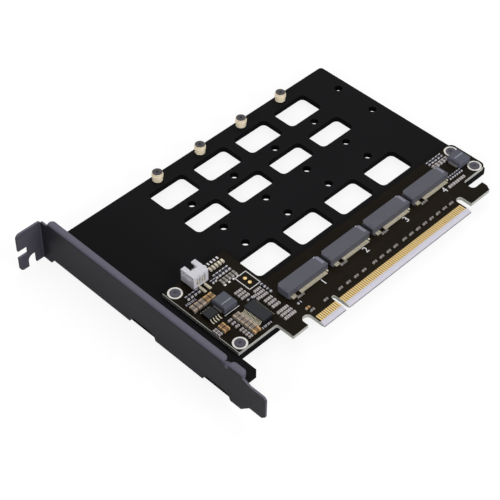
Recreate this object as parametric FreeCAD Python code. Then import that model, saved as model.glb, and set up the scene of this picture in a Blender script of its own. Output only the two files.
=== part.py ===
import FreeCAD, Part
import math
import os

# Four-drive adapter card for a wide card-edge slot: a black carrier plate with a
# stepped circuit board screwed on it and a full-height slot bracket at one end.
# All lengths are millimetres. Origin: centre of the key notch in the card edge, at
# the lower edge of the contacts, on the component face of the circuit board.
# +X runs away from the bracket, +Y up the card, +Z out of the component face.

os.makedirs("parts", exist_ok=True)
V = FreeCAD.Vector

# ---------------------------------------------------------------- driving sizes
BOARD_T = 1.6
PLATE_T = 2.6
PLATE_RIGHT = 97.9
PLATE_TOP = 104.3
PLATE_BOTTOM = 12.3
PLATE_CORNER_R = 1.5
LEG_RIGHT = -44.2
LEG_BOTTOM = 2.8
LEG_CHAMFER = 1.2

# drive bays
BAY_COUNT = 4
BAY_FIRST_X = -2.0
BAY_PITCH = 23.75
DRIVE_SEAT_Y = 21.5
DRIVE_LENGTHS = (30.0, 42.0, 60.0)
LONGEST_DRIVE = 80.0
DRIVE_LIFT = 1.5
DRIVE_T = 0.8
DRIVE_HOLE_R = 1.7
WINDOW_W = 18.8
WINDOW_ROWS = ((34.6, 46.8), (67.5, 77.4), (85.4, 97.3))
WINDOW_R = 2.0
WINDOW_CORNER_STEPS = 3
SPARE_HOLE_X = 92.7
SPARE_HOLE_YS = (69.6, 89.1)
SPARE_HOLE_R = 1.7

# circuit board outline
BOARD_LEFT = -44.25
BLOCK_RIGHT = -12.5
BLOCK_TOP = 53.1
STRIP_TOP = 31.2
BOARD_LOW = 12.8
BOARD_R = 1.0
BOARD_END_R = 2.4
FOOT_LEFT = -24.6
FOOT_RIGHT = -16.8
FOOT_BOTTOM = 4.4
TONGUE_LEFT = -12.6
TONGUE_RIGHT = 72.6
NOTCH_TOP = 8.6
NOTCH_ROUNDING = 0.95
KEY_HALF = 0.95
KEY_TOP = 8.0
HOOK_LEFT = 75.9
HOOK_RIGHT = 88.65
HOOK_TOP = 7.4
HOOK_BOTTOM = 2.6
HOOK_TOE_X = 1.4
HOOK_TOE_Y = 2.3
THROAT_X = 83.0
THROAT_R = 1.8
EDGE_BEVEL_Y = 1.5
EDGE_BEVEL_Z = 0.5

# card-edge contacts
CONTACT_PITCH = 1.0
CONTACT_W = 0.7
CONTACT_T = 0.04
CONTACT_TOP = 5.4
SHORT_SIDE_CONTACTS = 11
LONG_SIDE_CONTACTS = 71
KEY_TO_CONTACT = 1.45

# slot bracket, bent from sheet
SHEET_T = 0.86
BRACKET_FACE_X = -59.5
BRACKET_W = 18.42
BRACKET_LENGTH = 120.02
BRACKET_TIP_Y = -15.2
BRACKET_LOW_Z = -3.9
BEND_R = 0.4
PLATE_TO_BRACKET = 0.2
LIP_REACH = 2.9
LIP_END_R = 1.6
LIP_TOP_DROP = 5.2
LIP_GAP_Y = (3.0, 5.3)
LIP_LOW_Y = -3.9
LIP_RELIEF = 0.9
SHOULDER_DROP = 7.4
SHOULDER_RISE = 2.0
TAB_LOW_Z = -6.4
TAB_W = 19.1
TAB_REACH = 11.43
TAB_CORNER_R = 2.0
SCREW_SLOT_Z = (0.9, 4.4)
SCREW_SLOT_DEPTH = 4.4
THUMB_NOTCH_X = (-66.7, -63.0)
THUMB_NOTCH_TOP_Z = -1.1
THUMB_NOTCH_R = 2.4
TONGUE_Z = (0.3, 11.9)
TONGUE_START_Y = -7.6
TONGUE_SLOPE_Y = 4.1
TONGUE_CHAMFER = 1.7
EAR_YS = (47.4, 8.8)
EAR_W = 10.4
EAR_REACH = 9.6
EAR_R = 1.5
EAR_NOTCH_EXTRA = 0.9

# screws
CLEARANCE = 0.05
BRACKET_SCREW_X = -53.6
BRACKET_SCREW_R = 1.5
BRACKET_HEAD_R = 2.8
BRACKET_HEAD_H = 1.7
BOARD_SCREWS = ((-40.7, 49.9), (-40.7, 15.7), (93.9, 15.6), (93.9, 27.9))
BOARD_SCREW_R = 1.25
BOARD_HEAD_R = 2.15
BOARD_HEAD_H = 1.1
DRIVE_SCREW_R = 1.0
DRIVE_HEAD_R = 2.1
DRIVE_HEAD_H = 1.1
DRIVE_SCREW_DEPTH = 3.0
DOME_SHARE = 0.45

# standoffs
STANDOFF_R = 2.2
COLLAR_R = 2.45
COLLAR_H = 1.2
GROOVE_R = 2.05
GROOVE_H = 0.35
STANDOFF_SIDES = 12

# drive sockets
SOCKET_W = 21.8
SOCKET_H = 3.2
SOCKET_REAR_Y = 18.4
SOCKET_MOUTH_Y = 24.6
SOCKET_CORNER = 1.0
DRIVE_TONGUE_W = 19.85
PIN_PITCH = 0.5
PIN_W = 0.22
PIN_T = 0.2
UPPER_PIN_COUNT = 38
LOWER_PIN_COUNT = 37
UPPER_KEYED = range(5, 9)
LOWER_KEYED = range(4, 8)
KEY_X = -6.1
KEY_W = 1.1
REAR_WALL_T = 0.3
REAR_WINDOW_H = 0.9
LOWER_BEAM_Y = 22.4
FOOT_OUT = 0.8
FINGER_REACH = 0.9
CLIP_X = 10.2
CLIP_W = 0.6
CLIP_Y = (20.0, 21.2)

# power header
HEADER_X = -30.7
HEADER_Y = 49.8
HEADER_W = 7.5
HEADER_D = 7.2
HEADER_H = 6.0
HEADER_WALL = 0.8
HEADER_BACK = 1.2
HEADER_KEY_W = 3.2
HEADER_KEY_D = 3.4
HEADER_GROOVE_D = 3.0
HEADER_GROOVE_W = 1.4
HEADER_GROOVE_Z = 2.3
HEADER_PIN_PITCH = 2.5
HEADER_PIN_W = 0.64
HEADER_PIN_Z = 3.0
HEADER_PIN_OUT = 0.9
HEADER_PIN_SET_BACK = 0.9
HEADER_FOOT = 2.6
HEADER_FOOT_T = 0.4

# coils: centre x, centre y, size along x, size along y, height
MAIN_INDUCTOR = (-31.7, 33.0, 6.6, 7.0, 3.0)
END_INDUCTOR = (91.5, 22.1, 6.6, 6.9, 3.0)
INDUCTOR_CHAMFER = 0.5
TERMINAL_T = 0.5
TERMINAL_H = 0.9
TERMINAL_SHARE = 0.6

# chips and their leads
LEAD_T = 0.15
LEAD_OUT = 1.1
CLOCK_X = -25.5
CLOCK_Y = 21.3
CLOCK_W = 5.3
CLOCK_D = 10.2
CLOCK_H = 1.7
CLOCK_LEADS = 14
CLOCK_PITCH = 0.65
CLOCK_LEAD_W = 0.3
REGULATOR_X = -38.9
REGULATOR_Y = 33.1
REGULATOR_W = 4.9
REGULATOR_D = 4.0
REGULATOR_H = 1.45
REGULATOR_LEADS = 4
REGULATOR_PITCH = 1.27
REGULATOR_LEAD_W = 0.42

# small parts
BULK_H = 1.2
FILTER_H = 0.75
RESISTOR_H = 0.5
LED_H = 0.8
SLOT_CAPACITOR_X = -7.1
SLOT_CAPACITOR_Y = 16.1
SLOT_CAPACITOR_PITCH = 1.8
SLOT_CAPACITOR_SIZE = (1.2, 0.8)

# groups of small parts: columns and rows as (first, pitch, count), then size in x and y
BULK_CAPACITORS = (
    ((-41.5, 2.3, 5), (39.1, 0, 1), 1.9, 3.0),
    ((-32.4, 0, 1), (15.6, 2.0, 6), 3.0, 1.7),
    ((-40.0, 0, 1), (23.7, 2.1, 2), 2.7, 1.7),
)
FILTER_CAPACITORS = (
    ((-43.1, 0, 1), (23.5, 1.35, 3), 1.7, 0.95),
    ((-35.8, 0, 1), (22.0, 1.9, 3), 1.7, 0.95),
    ((-35.8, 0, 1), (15.2, 1.5, 4), 1.7, 0.95),
    ((-24.5, 2.1, 2), (30.3, 1.75, 3), 1.6, 1.1),
    ((-20.6, 0, 1), (26.1, 1.8, 2), 1.5, 1.1),
    ((-18.7, 1.8, 2), (25.9, 1.8, 3), 1.4, 1.1),
    ((-19.2, 2.0, 2), (19.4, 2.0, 3), 1.6, 1.2),
    ((-20.1, 1.9, 3), (12.2, 1.9, 3), 1.5, 1.2),
    ((77.6, 2.5, 4), (14.6, 0, 1), 1.9, 1.2),
    ((81.4, 1.9, 5), (26.5, 0, 1), 1.3, 1.7),
)
FILTER_RESISTORS = (
    ((-29.4, 1.7, 3), (14.9, 0, 1), 1.2, 0.8),
    ((-14.6, 0, 1), (26.5, 3.2, 2), 1.0, 2.2),
    ((-39.3, 1.8, 4), (44.8, 0, 1), 1.2, 1.9),
    ((-41.6, 1.7, 3), (42.3, 0, 1), 1.2, 1.1),
    ((-26.9, 1.4, 2), (44.3, 0, 1), 0.9, 1.6),
    ((-22.8, 0, 1), (28.3, 0, 1), 2.6, 0.8),
    ((81.3, 1.9, 5), (29.4, 0, 1), 1.2, 1.8),
    ((80.8, 1.4, 6), (18.0, 0, 1), 0.8, 1.7),
    ((-11.2, 0, 1), (14.1, 0, 1), 1.6, 0.9),
)
COUPLING_CAPACITORS = (
    ((5.0, 4.4, 4), (8.2, 0, 1), 1.7, 0.85),
    ((24.3, 4.05, 4), (8.2, 0, 1), 1.7, 0.85),
    ((41.7, 4.05, 8), (8.2, 0, 1), 1.7, 0.85),
    ((-10.4, 7.3, 2), (8.2, 0, 1), 1.7, 0.85),
)
STATUS_LEDS = (
    ((-23.1, 1.6, 5), (49.4, 0, 1), 1.0, 1.7),
)
LED_RESISTORS = (
    ((-24.2, 1.65, 5), (41.9, 3.5, 2), 1.1, 2.2),
)

plate_z = -BOARD_T
plate_low_z = plate_z - PLATE_T
bracket_inner_x = BRACKET_FACE_X + SHEET_T
plate_left = bracket_inner_x + PLATE_TO_BRACKET
bracket_top_z = BRACKET_LOW_Z + BRACKET_W
tab_face_y = BRACKET_TIP_Y + BRACKET_LENGTH
tab_top_z = TAB_LOW_Z + TAB_W
lip_top_y = tab_face_y - LIP_TOP_DROP
drive_top_z = DRIVE_LIFT + DRIVE_T
bay_xs = [BAY_FIRST_X + bay * BAY_PITCH for bay in range(BAY_COUNT)]
standoff_y = DRIVE_SEAT_Y + LONGEST_DRIVE


# ---------------------------------------------------------------- shape helpers
def box(x0, y0, z0, x1, y1, z1):
    """Block between two opposite corners."""
    return Part.makeBox(x1 - x0, y1 - y0, z1 - z0, V(x0, y0, z0))


def run(start, pitch, count):
    """Evenly spaced positions."""
    return [start + i * pitch for i in range(count)]


def block(x, y, z, wide, deep, high):
    """Block centred on x, y that stands on height z."""
    return box(x - wide / 2, y - deep / 2, z, x + wide / 2, y + deep / 2, z + high)


def post(x, y, z, radius, high, sides=12):
    """Upright regular prism on x, y from height z, its corners on the given radius."""
    turns = [2 * math.pi * (i + 0.5) / sides for i in range(sides)]
    points = [V(x + radius * math.cos(a), y + radius * math.sin(a), z) for a in turns]
    return Part.Face(Part.makePolygon(points + points[:1])).extrude(V(0, 0, high))


def outline(corners):
    """Closed wire through corners (point, radius), each rounded by a tangent arc."""
    edges = []
    joints = []
    count = len(corners)
    for i in range(count):
        before = corners[i - 1][0]
        here, radius = corners[i]
        after = corners[(i + 1) % count][0]
        if radius == 0:
            joints.append((here, here))
            continue
        back = (before - here).normalize()
        ahead = (after - here).normalize()
        half = back.getAngle(ahead) / 2
        reach = radius / math.tan(half)
        start = here + back * reach
        end = here + ahead * reach
        middle = (back + ahead).normalize()
        centre = here + middle * (radius / math.sin(half))
        edges.append((i, Part.Arc(start, centre - middle * radius, end).toShape()))
        joints.append((start, end))
    arcs = dict(edges)
    path = []
    for i in range(count):
        if i in arcs:
            path.append(arcs[i])
        leave = joints[i][1]
        reach = joints[(i + 1) % count][0]
        if leave.distanceToPoint(reach) > 1e-6:
            path.append(Part.makeLine(leave, reach))
    return Part.Wire(path)


def slab(points, z0, z1):
    """Flat piece from (x, y, corner radius) points between two heights."""
    corners = [(V(x, y, z0), r) for x, y, r in points]
    return Part.Face(outline(corners)).extrude(V(0, 0, z1 - z0))


def window_slab(x0, y0, x1, y1, radius, z0, z1):
    """Rectangle whose corners are rounded in a few flat steps, between two heights."""
    points = []
    corners = ((x1, y1, 0), (x0, y1, 1), (x0, y0, 2), (x1, y0, 3))
    for x, y, quarter in corners:
        centre_x = x - radius if x == x1 else x + radius
        centre_y = y - radius if y == y1 else y + radius
        for i in range(WINDOW_CORNER_STEPS + 1):
            turn = math.pi / 2 * (quarter + i / WINDOW_CORNER_STEPS)
            points.append(V(centre_x + radius * math.cos(turn),
                            centre_y + radius * math.sin(turn), z0))
    return Part.Face(Part.makePolygon(points + points[:1])).extrude(V(0, 0, z1 - z0))


def x_profile(points, x0, x1):
    """Piece of constant section: (y, z, corner radius) points run along X."""
    corners = [(V(x0, y, z), r) for y, z, r in points]
    return Part.Face(outline(corners)).extrude(V(x1 - x0, 0, 0))


def y_profile(points, y0, y1):
    """Piece of constant section: (x, z, corner radius) points run along Y."""
    corners = [(V(x, y0, z), r) for x, z, r in points]
    return Part.Face(outline(corners)).extrude(V(0, y1 - y0, 0))


def fused(pieces):
    """One solid from touching pieces, with its seams cleaned away."""
    whole = pieces[0].multiFuse(pieces[1:])
    return whole.removeSplitter()


def save(name, pieces):
    """Write one node; several pieces stay separate solids."""
    shape = pieces[0] if len(pieces) == 1 else Part.makeCompound(pieces)
    shape.exportStep("parts/" + name + ".step")
    print(name, len(shape.Solids), "solids, volume", round(shape.Volume, 2), shape.isValid())


# ---------------------------------------------------------------- carrier plate
def round_hole(x, y, radius):
    """Tool for a round hole through the carrier plate."""
    return Part.makeCylinder(radius, PLATE_T, V(x, y, plate_low_z))


def carrier_plate():
    plate = slab([
        (plate_left, LEG_BOTTOM, 0),
        (LEG_RIGHT - LEG_CHAMFER, LEG_BOTTOM, 0),
        (LEG_RIGHT, LEG_BOTTOM + LEG_CHAMFER, 0),
        (LEG_RIGHT, PLATE_BOTTOM, 0),
        (PLATE_RIGHT, PLATE_BOTTOM, PLATE_CORNER_R),
        (PLATE_RIGHT, PLATE_TOP, PLATE_CORNER_R),
        (plate_left, PLATE_TOP, 0),
    ], plate_low_z, plate_z)
    cuts = []
    for x in bay_xs:
        for low, high in WINDOW_ROWS:
            cuts.append(window_slab(x - WINDOW_W / 2, low, x + WINDOW_W / 2, high, WINDOW_R,
                                    plate_low_z, plate_z))
        for length in DRIVE_LENGTHS:
            cuts.append(round_hole(x, DRIVE_SEAT_Y + length, DRIVE_HOLE_R))
        cuts.append(post(x, standoff_y, plate_low_z, DRIVE_HOLE_R, PLATE_T))
    for y in SPARE_HOLE_YS:
        cuts.append(round_hole(SPARE_HOLE_X, y, SPARE_HOLE_R))
    for x, y in BOARD_SCREWS:
        cuts.append(post(x, y, plate_low_z, BOARD_SCREW_R + CLEARANCE, PLATE_T))
    for y in EAR_YS:
        cuts.append(post(BRACKET_SCREW_X, y, plate_low_z, BRACKET_SCREW_R + CLEARANCE, PLATE_T))
    return plate.cut(Part.makeCompound(cuts))


# ---------------------------------------------------------------- circuit board
def circuit_board():
    key_r = KEY_HALF * NOTCH_ROUNDING
    notch_r = (TONGUE_LEFT - FOOT_RIGHT) / 2 * NOTCH_ROUNDING
    slot_r = (HOOK_LEFT - TONGUE_RIGHT) / 2 * NOTCH_ROUNDING
    board = slab([
        (BOARD_LEFT, BOARD_LOW, 0),
        (FOOT_LEFT, BOARD_LOW, BOARD_R),
        (FOOT_LEFT, FOOT_BOTTOM, 0),
        (FOOT_RIGHT, FOOT_BOTTOM, 0),
        (FOOT_RIGHT, NOTCH_TOP, notch_r),
        (TONGUE_LEFT, NOTCH_TOP, notch_r),
        (TONGUE_LEFT, 0, 0),
        (-KEY_HALF, 0, 0),
        (-KEY_HALF, KEY_TOP, key_r),
        (KEY_HALF, KEY_TOP, key_r),
        (KEY_HALF, 0, 0),
        (TONGUE_RIGHT, 0, 0),
        (TONGUE_RIGHT, NOTCH_TOP, slot_r),
        (HOOK_LEFT, NOTCH_TOP, slot_r),
        (HOOK_LEFT, HOOK_BOTTOM, 0),
        (HOOK_RIGHT - HOOK_TOE_X, HOOK_BOTTOM, 0),
        (HOOK_RIGHT, HOOK_BOTTOM + HOOK_TOE_Y, 0),
        (HOOK_RIGHT, HOOK_TOP, 0),
        (THROAT_X, HOOK_TOP, THROAT_R),
        (THROAT_X, BOARD_LOW, THROAT_R),
        (PLATE_RIGHT, BOARD_LOW, BOARD_END_R),
        (PLATE_RIGHT, STRIP_TOP, BOARD_END_R),
        (BLOCK_RIGHT, STRIP_TOP, BOARD_R),
        (BLOCK_RIGHT, BLOCK_TOP, 0),
        (BOARD_LEFT, BLOCK_TOP, 0),
    ], -BOARD_T, 0)
    cuts = []
    for side, face_z in ((-1, 0.0), (1, -BOARD_T)):
        cuts.append(x_profile([
            (0, face_z, 0),
            (EDGE_BEVEL_Y, face_z, 0),
            (0, face_z + side * EDGE_BEVEL_Z, 0),
        ], TONGUE_LEFT, TONGUE_RIGHT))
    for x, y in BOARD_SCREWS:
        cuts.append(post(x, y, -BOARD_T, BOARD_SCREW_R + CLEARANCE, BOARD_T))
    return board.cut(Part.makeCompound(cuts))


def edge_contact_row(start, direction, count):
    """Separate plated contacts on the component face, from one side of the key."""
    xs = run(start, direction * CONTACT_PITCH, count)
    mid = (EDGE_BEVEL_Y + CONTACT_TOP) / 2
    deep = CONTACT_TOP - EDGE_BEVEL_Y
    return [block(x, mid, 0, CONTACT_W, deep, CONTACT_T) for x in xs]


def edge_contact_field(start, direction, count):
    """Plating on the back face as one thin field on one side of the key."""
    end = start + direction * (count - 1) * CONTACT_PITCH
    half = CONTACT_W / 2
    low_z = -BOARD_T - CONTACT_T
    return box(min(start, end) - half, EDGE_BEVEL_Y, low_z, max(start, end) + half,
               CONTACT_TOP, -BOARD_T)


# ---------------------------------------------------------------- slot bracket
def bracket_face():
    """Flat face of the bracket in the Y-Z plane, without its folds."""
    top_y = tab_face_y - BEND_R - SHEET_T
    shoulder_y = tab_face_y - SHOULDER_DROP
    low_tongue_z, high_tongue_z = TONGUE_Z
    fold_z = bracket_top_z - BEND_R - SHEET_T
    slope = TONGUE_START_Y + TONGUE_SLOPE_Y
    points = [
        (shoulder_y, BRACKET_LOW_Z, 0),
        (shoulder_y + SHOULDER_RISE, TAB_LOW_Z, 0),
        (top_y, TAB_LOW_Z, 0),
        (top_y, tab_top_z, 0),
        (lip_top_y + SHEET_T, tab_top_z, 0),
        (lip_top_y, fold_z, 0),
        (LIP_LOW_Y, fold_z, 0),
        (TONGUE_START_Y, high_tongue_z, 0),
        (BRACKET_TIP_Y, high_tongue_z, TONGUE_CHAMFER),
        (BRACKET_TIP_Y, low_tongue_z + TONGUE_CHAMFER, 0),
        (BRACKET_TIP_Y + TONGUE_CHAMFER, low_tongue_z, 0),
        (TONGUE_START_Y, low_tongue_z, 0),
        (slope, BRACKET_LOW_Z, 0),
    ]
    return x_profile(points, BRACKET_FACE_X, bracket_inner_x)


def bracket_lip(y0, y1):
    """Stiffening lip folded inward along the free edge of the face."""
    start_z = bracket_top_z - 2 * SHEET_T - BEND_R
    end_x = BRACKET_FACE_X + LIP_REACH
    section = y_profile([
        (BRACKET_FACE_X, start_z, 0),
        (BRACKET_FACE_X, bracket_top_z, BEND_R + SHEET_T),
        (end_x, bracket_top_z, 0),
        (end_x, bracket_top_z - SHEET_T, 0),
        (bracket_inner_x, bracket_top_z - SHEET_T, BEND_R),
        (bracket_inner_x, start_z, 0),
    ], y0, y1)
    plan = slab([
        (BRACKET_FACE_X, y0, 0),
        (end_x, y0, LIP_END_R),
        (end_x, y1, LIP_END_R),
        (BRACKET_FACE_X, y1, 0),
    ], start_z, bracket_top_z)
    return section.common(plan)


def bracket_tab():
    """Fixing tab folded outward at the top end, with its screw slot."""
    under_y = tab_face_y - SHEET_T
    start_y = under_y - BEND_R
    end_x = BRACKET_FACE_X - TAB_REACH
    section = slab([
        (bracket_inner_x, start_y, 0),
        (bracket_inner_x, tab_face_y, BEND_R + SHEET_T),
        (end_x, tab_face_y, 0),
        (end_x, under_y, 0),
        (BRACKET_FACE_X, under_y, BEND_R),
        (BRACKET_FACE_X, start_y, 0),
    ], TAB_LOW_Z, tab_top_z)
    shape = y_profile([
        (bracket_inner_x, TAB_LOW_Z, 0),
        (bracket_inner_x, tab_top_z, TAB_CORNER_R),
        (end_x, tab_top_z, TAB_CORNER_R),
        (end_x, TAB_LOW_Z, TAB_CORNER_R),
    ], start_y, tab_face_y)
    slot_low, slot_high = SCREW_SLOT_Z
    slot_end_x = end_x + SCREW_SLOT_DEPTH
    slot = box(end_x, start_y, slot_low, slot_end_x, tab_face_y, slot_high)
    notch_left, notch_right = THUMB_NOTCH_X
    notch = y_profile([
        (notch_left, TAB_LOW_Z, 0),
        (notch_right, TAB_LOW_Z, 0),
        (notch_right, THUMB_NOTCH_TOP_Z, 0),
        (notch_left, THUMB_NOTCH_TOP_Z, THUMB_NOTCH_R),
    ], start_y, tab_face_y)
    return section.common(shape).cut(Part.makeCompound([slot, notch]))


def bracket_ear(y):
    """Mounting ear folded inward onto the plate."""
    rise_z = plate_z + SHEET_T + BEND_R
    end_x = bracket_inner_x + EAR_REACH
    section = y_profile([
        (BRACKET_FACE_X, rise_z, 0),
        (BRACKET_FACE_X, plate_z, BEND_R + SHEET_T),
        (end_x, plate_z, 0),
        (end_x, plate_z + SHEET_T, 0),
        (bracket_inner_x, plate_z + SHEET_T, BEND_R),
        (bracket_inner_x, rise_z, 0),
    ], y - EAR_W / 2, y + EAR_W / 2)
    plan = slab([
        (BRACKET_FACE_X, y - EAR_W / 2, 0),
        (end_x, y - EAR_W / 2, EAR_R),
        (end_x, y + EAR_W / 2, EAR_R),
        (BRACKET_FACE_X, y + EAR_W / 2, 0),
    ], plate_z, rise_z)
    hole = post(BRACKET_SCREW_X, y, plate_z, BRACKET_SCREW_R + CLEARANCE, SHEET_T)
    return section.common(plan).cut(hole)


def slot_bracket():
    face = bracket_face()
    cuts = []
    for y in EAR_YS:
        half = EAR_W / 2 + EAR_NOTCH_EXTRA
        rise_z = plate_z + SHEET_T + BEND_R
        cuts.append(x_profile([
            (y - half - EAR_NOTCH_EXTRA, BRACKET_LOW_Z, 0),
            (y - half, plate_z, 0),
            (y - EAR_W / 2, plate_z, 0),
            (y - EAR_W / 2, rise_z, 0),
            (y + EAR_W / 2, rise_z, 0),
            (y + EAR_W / 2, plate_z, 0),
            (y + half, plate_z, 0),
            (y + half + EAR_NOTCH_EXTRA, BRACKET_LOW_Z, 0),
        ], BRACKET_FACE_X, bracket_inner_x))
    gap_low, gap_high = LIP_GAP_Y
    relief_z = bracket_top_z - SHEET_T - BEND_R - LIP_RELIEF
    cuts.append(box(BRACKET_FACE_X, gap_low, relief_z, bracket_inner_x, gap_high, bracket_top_z))
    face = face.cut(Part.makeCompound(cuts))
    pieces = [face, bracket_tab()]
    pieces.append(bracket_lip(gap_high, lip_top_y))
    pieces.append(bracket_lip(LIP_LOW_Y, gap_low))
    pieces.extend(bracket_ear(y) for y in EAR_YS)
    return fused(pieces)


# ---------------------------------------------------------------- screws
def pan_screw(x, y, seat_z, head_r, head_h, shank_r, tip_z):
    """Screw with a low domed head that sits on seat_z and a plain shank to tip_z."""
    dome = head_h * DOME_SHARE
    head = post(x, y, seat_z, head_r, head_h)
    rim = [e for e in head.Edges if e.BoundBox.ZMin > seat_z + head_h - CLEARANCE]
    shank = post(x, y, tip_z, shank_r, seat_z - tip_z)
    return fused([head.makeChamfer(dome, rim), shank])


def bracket_screws():
    seat_z = plate_z + SHEET_T
    return [pan_screw(BRACKET_SCREW_X, y, seat_z, BRACKET_HEAD_R, BRACKET_HEAD_H,
                      BRACKET_SCREW_R, plate_low_z) for y in EAR_YS]


def board_screws():
    return [pan_screw(x, y, 0, BOARD_HEAD_R, BOARD_HEAD_H, BOARD_SCREW_R, plate_low_z)
            for x, y in BOARD_SCREWS]


def drive_standoff(x):
    """Pressed-in pillar with a collar, a groove below it and a tapped hole."""
    collar_z = DRIVE_LIFT - COLLAR_H
    groove_z = collar_z - GROOVE_H
    pillar = fused([
        post(x, standoff_y, plate_low_z, DRIVE_HOLE_R, PLATE_T),
        post(x, standoff_y, plate_z, STANDOFF_R, groove_z - plate_z, STANDOFF_SIDES),
        post(x, standoff_y, groove_z, GROOVE_R, GROOVE_H, STANDOFF_SIDES),
        post(x, standoff_y, collar_z, COLLAR_R, COLLAR_H, STANDOFF_SIDES),
    ])
    bore_z = DRIVE_LIFT - DRIVE_SCREW_DEPTH
    return pillar.cut(post(x, standoff_y, bore_z, DRIVE_SCREW_R + CLEARANCE, DRIVE_SCREW_DEPTH))


def drive_screw(x):
    return pan_screw(x, standoff_y, DRIVE_LIFT, DRIVE_HEAD_R, DRIVE_HEAD_H, DRIVE_SCREW_R,
                     DRIVE_LIFT - DRIVE_SCREW_DEPTH)


# ---------------------------------------------------------------- drive sockets
slot_top_z = drive_top_z + PIN_T + CLEARANCE
slot_low_z = DRIVE_LIFT - CLEARANCE
pin_zone = UPPER_PIN_COUNT * PIN_PITCH / 2
riser_y = SOCKET_REAR_Y + REAR_WALL_T


def socket_housing(bay_x):
    """Moulded housing: a mouth for the drive's edge, its key rib and the pin channels."""
    left = bay_x - SOCKET_W / 2
    right = bay_x + SOCKET_W / 2
    body = slab([
        (left, SOCKET_REAR_Y, 0),
        (right, SOCKET_REAR_Y, 0),
        (right, SOCKET_MOUTH_Y - SOCKET_CORNER, 0),
        (right - SOCKET_CORNER, SOCKET_MOUTH_Y, 0),
        (left + SOCKET_CORNER, SOCKET_MOUTH_Y, 0),
        (left, SOCKET_MOUTH_Y - SOCKET_CORNER, 0),
    ], 0, SOCKET_H)
    zone_left = bay_x - pin_zone
    zone_right = bay_x + pin_zone
    mouth_half = DRIVE_TONGUE_W / 2 + CLEARANCE
    cavity_y = DRIVE_SEAT_Y - CLEARANCE
    pin_gap = PIN_T + CLEARANCE
    channel_y = riser_y + pin_gap
    cuts = [
        box(zone_left, SOCKET_REAR_Y, 0, zone_right, channel_y, REAR_WINDOW_H),
        box(zone_left, riser_y, 0, zone_right, channel_y, slot_top_z),
        box(zone_left, riser_y, drive_top_z - CLEARANCE, zone_right, SOCKET_MOUTH_Y, slot_top_z),
        box(bay_x - mouth_half, cavity_y, slot_low_z, bay_x + mouth_half, SOCKET_MOUTH_Y,
            slot_top_z),
        box(zone_left, LOWER_BEAM_Y, 0, zone_right, LOWER_BEAM_Y + pin_gap, slot_low_z),
        box(zone_left, LOWER_BEAM_Y, 0, zone_right, SOCKET_MOUTH_Y, pin_gap),
    ]
    low, high = CLIP_Y
    for side in (-1, 1):
        clip_x = bay_x + side * CLIP_X
        half = CLIP_W / 2
        cuts.append(box(clip_x - half, low, 0, clip_x + half, high, SOCKET_H))
        cuts.append(box(clip_x - half, SOCKET_REAR_Y, 0, clip_x + half, low, pin_gap))
    key = box(bay_x + KEY_X - KEY_W / 2, cavity_y, slot_low_z - PIN_T,
              bay_x + KEY_X + KEY_W / 2, SOCKET_MOUTH_Y, SOCKET_H)
    return body.cut(Part.makeCompound(cuts)).fuse(key).removeSplitter()


def pin_xs(bay_x, count, keyed):
    first = bay_x - (count - 1) * PIN_PITCH / 2
    return [first + i * PIN_PITCH for i in range(count) if i not in keyed]


def socket_contacts(bay_x):
    """Both rows of bent contacts: the upper row reaches over the drive, the lower under it."""
    tip_y = SOCKET_MOUTH_Y - FINGER_REACH
    upper = [
        (riser_y, 0, 0),
        (riser_y + PIN_T, 0, 0),
        (riser_y + PIN_T, drive_top_z, 0),
        (tip_y, drive_top_z, 0),
        (tip_y, drive_top_z + PIN_T, 0),
        (riser_y, drive_top_z + PIN_T, 0),
    ]
    foot_y = SOCKET_MOUTH_Y + FOOT_OUT
    pins = []
    for x in pin_xs(bay_x, UPPER_PIN_COUNT, UPPER_KEYED):
        pins.append(x_profile(upper, x - PIN_W / 2, x + PIN_W / 2))
    for x in pin_xs(bay_x, LOWER_PIN_COUNT, LOWER_KEYED):
        pins.append(box(x - PIN_W / 2, LOWER_BEAM_Y, 0, x + PIN_W / 2, foot_y, PIN_T))
    return pins


def socket_clips(bay_x):
    """Hold-down clips at both ends of a socket, each with a foot on the board."""
    low, high = CLIP_Y
    clips = []
    for side in (-1, 1):
        x = bay_x + side * CLIP_X
        clips.append(x_profile([
            (SOCKET_REAR_Y - FOOT_OUT, 0, 0),
            (high, 0, 0),
            (high, SOCKET_H, 0),
            (low, SOCKET_H, 0),
            (low, PIN_T, 0),
            (SOCKET_REAR_Y - FOOT_OUT, PIN_T, 0),
        ], x - CLIP_W / 2, x + CLIP_W / 2))
    return clips


# ---------------------------------------------------------------- power header
def power_header():
    """Two-way wire header lying on its side, its mouth towards the top of the card."""
    left = HEADER_X - HEADER_W / 2
    right = HEADER_X + HEADER_W / 2
    rear = HEADER_Y - HEADER_D / 2
    mouth = HEADER_Y + HEADER_D / 2
    body = box(left, rear, 0, right, mouth, HEADER_H)
    cuts = [
        box(left + HEADER_WALL, rear + HEADER_BACK, HEADER_WALL, right - HEADER_WALL, mouth,
            HEADER_H - HEADER_WALL),
        box(HEADER_X - HEADER_KEY_W / 2, mouth - HEADER_KEY_D, HEADER_H - HEADER_WALL,
            HEADER_X + HEADER_KEY_W / 2, mouth, HEADER_H),
        box(left, mouth - HEADER_GROOVE_D, HEADER_GROOVE_Z, left + HEADER_WALL, mouth,
            HEADER_GROOVE_Z + HEADER_GROOVE_W),
        box(right - HEADER_WALL, mouth - HEADER_GROOVE_D, HEADER_GROOVE_Z, right, mouth,
            HEADER_GROOVE_Z + HEADER_GROOVE_W),
    ]
    half = HEADER_PIN_W / 2
    for side in (-1, 1):
        x = HEADER_X + side * HEADER_PIN_PITCH / 2
        cuts.append(box(x - half, rear, HEADER_PIN_Z - half, x + half, rear + HEADER_BACK,
                        HEADER_PIN_Z + half))
    return body.cut(Part.makeCompound(cuts))


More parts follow.
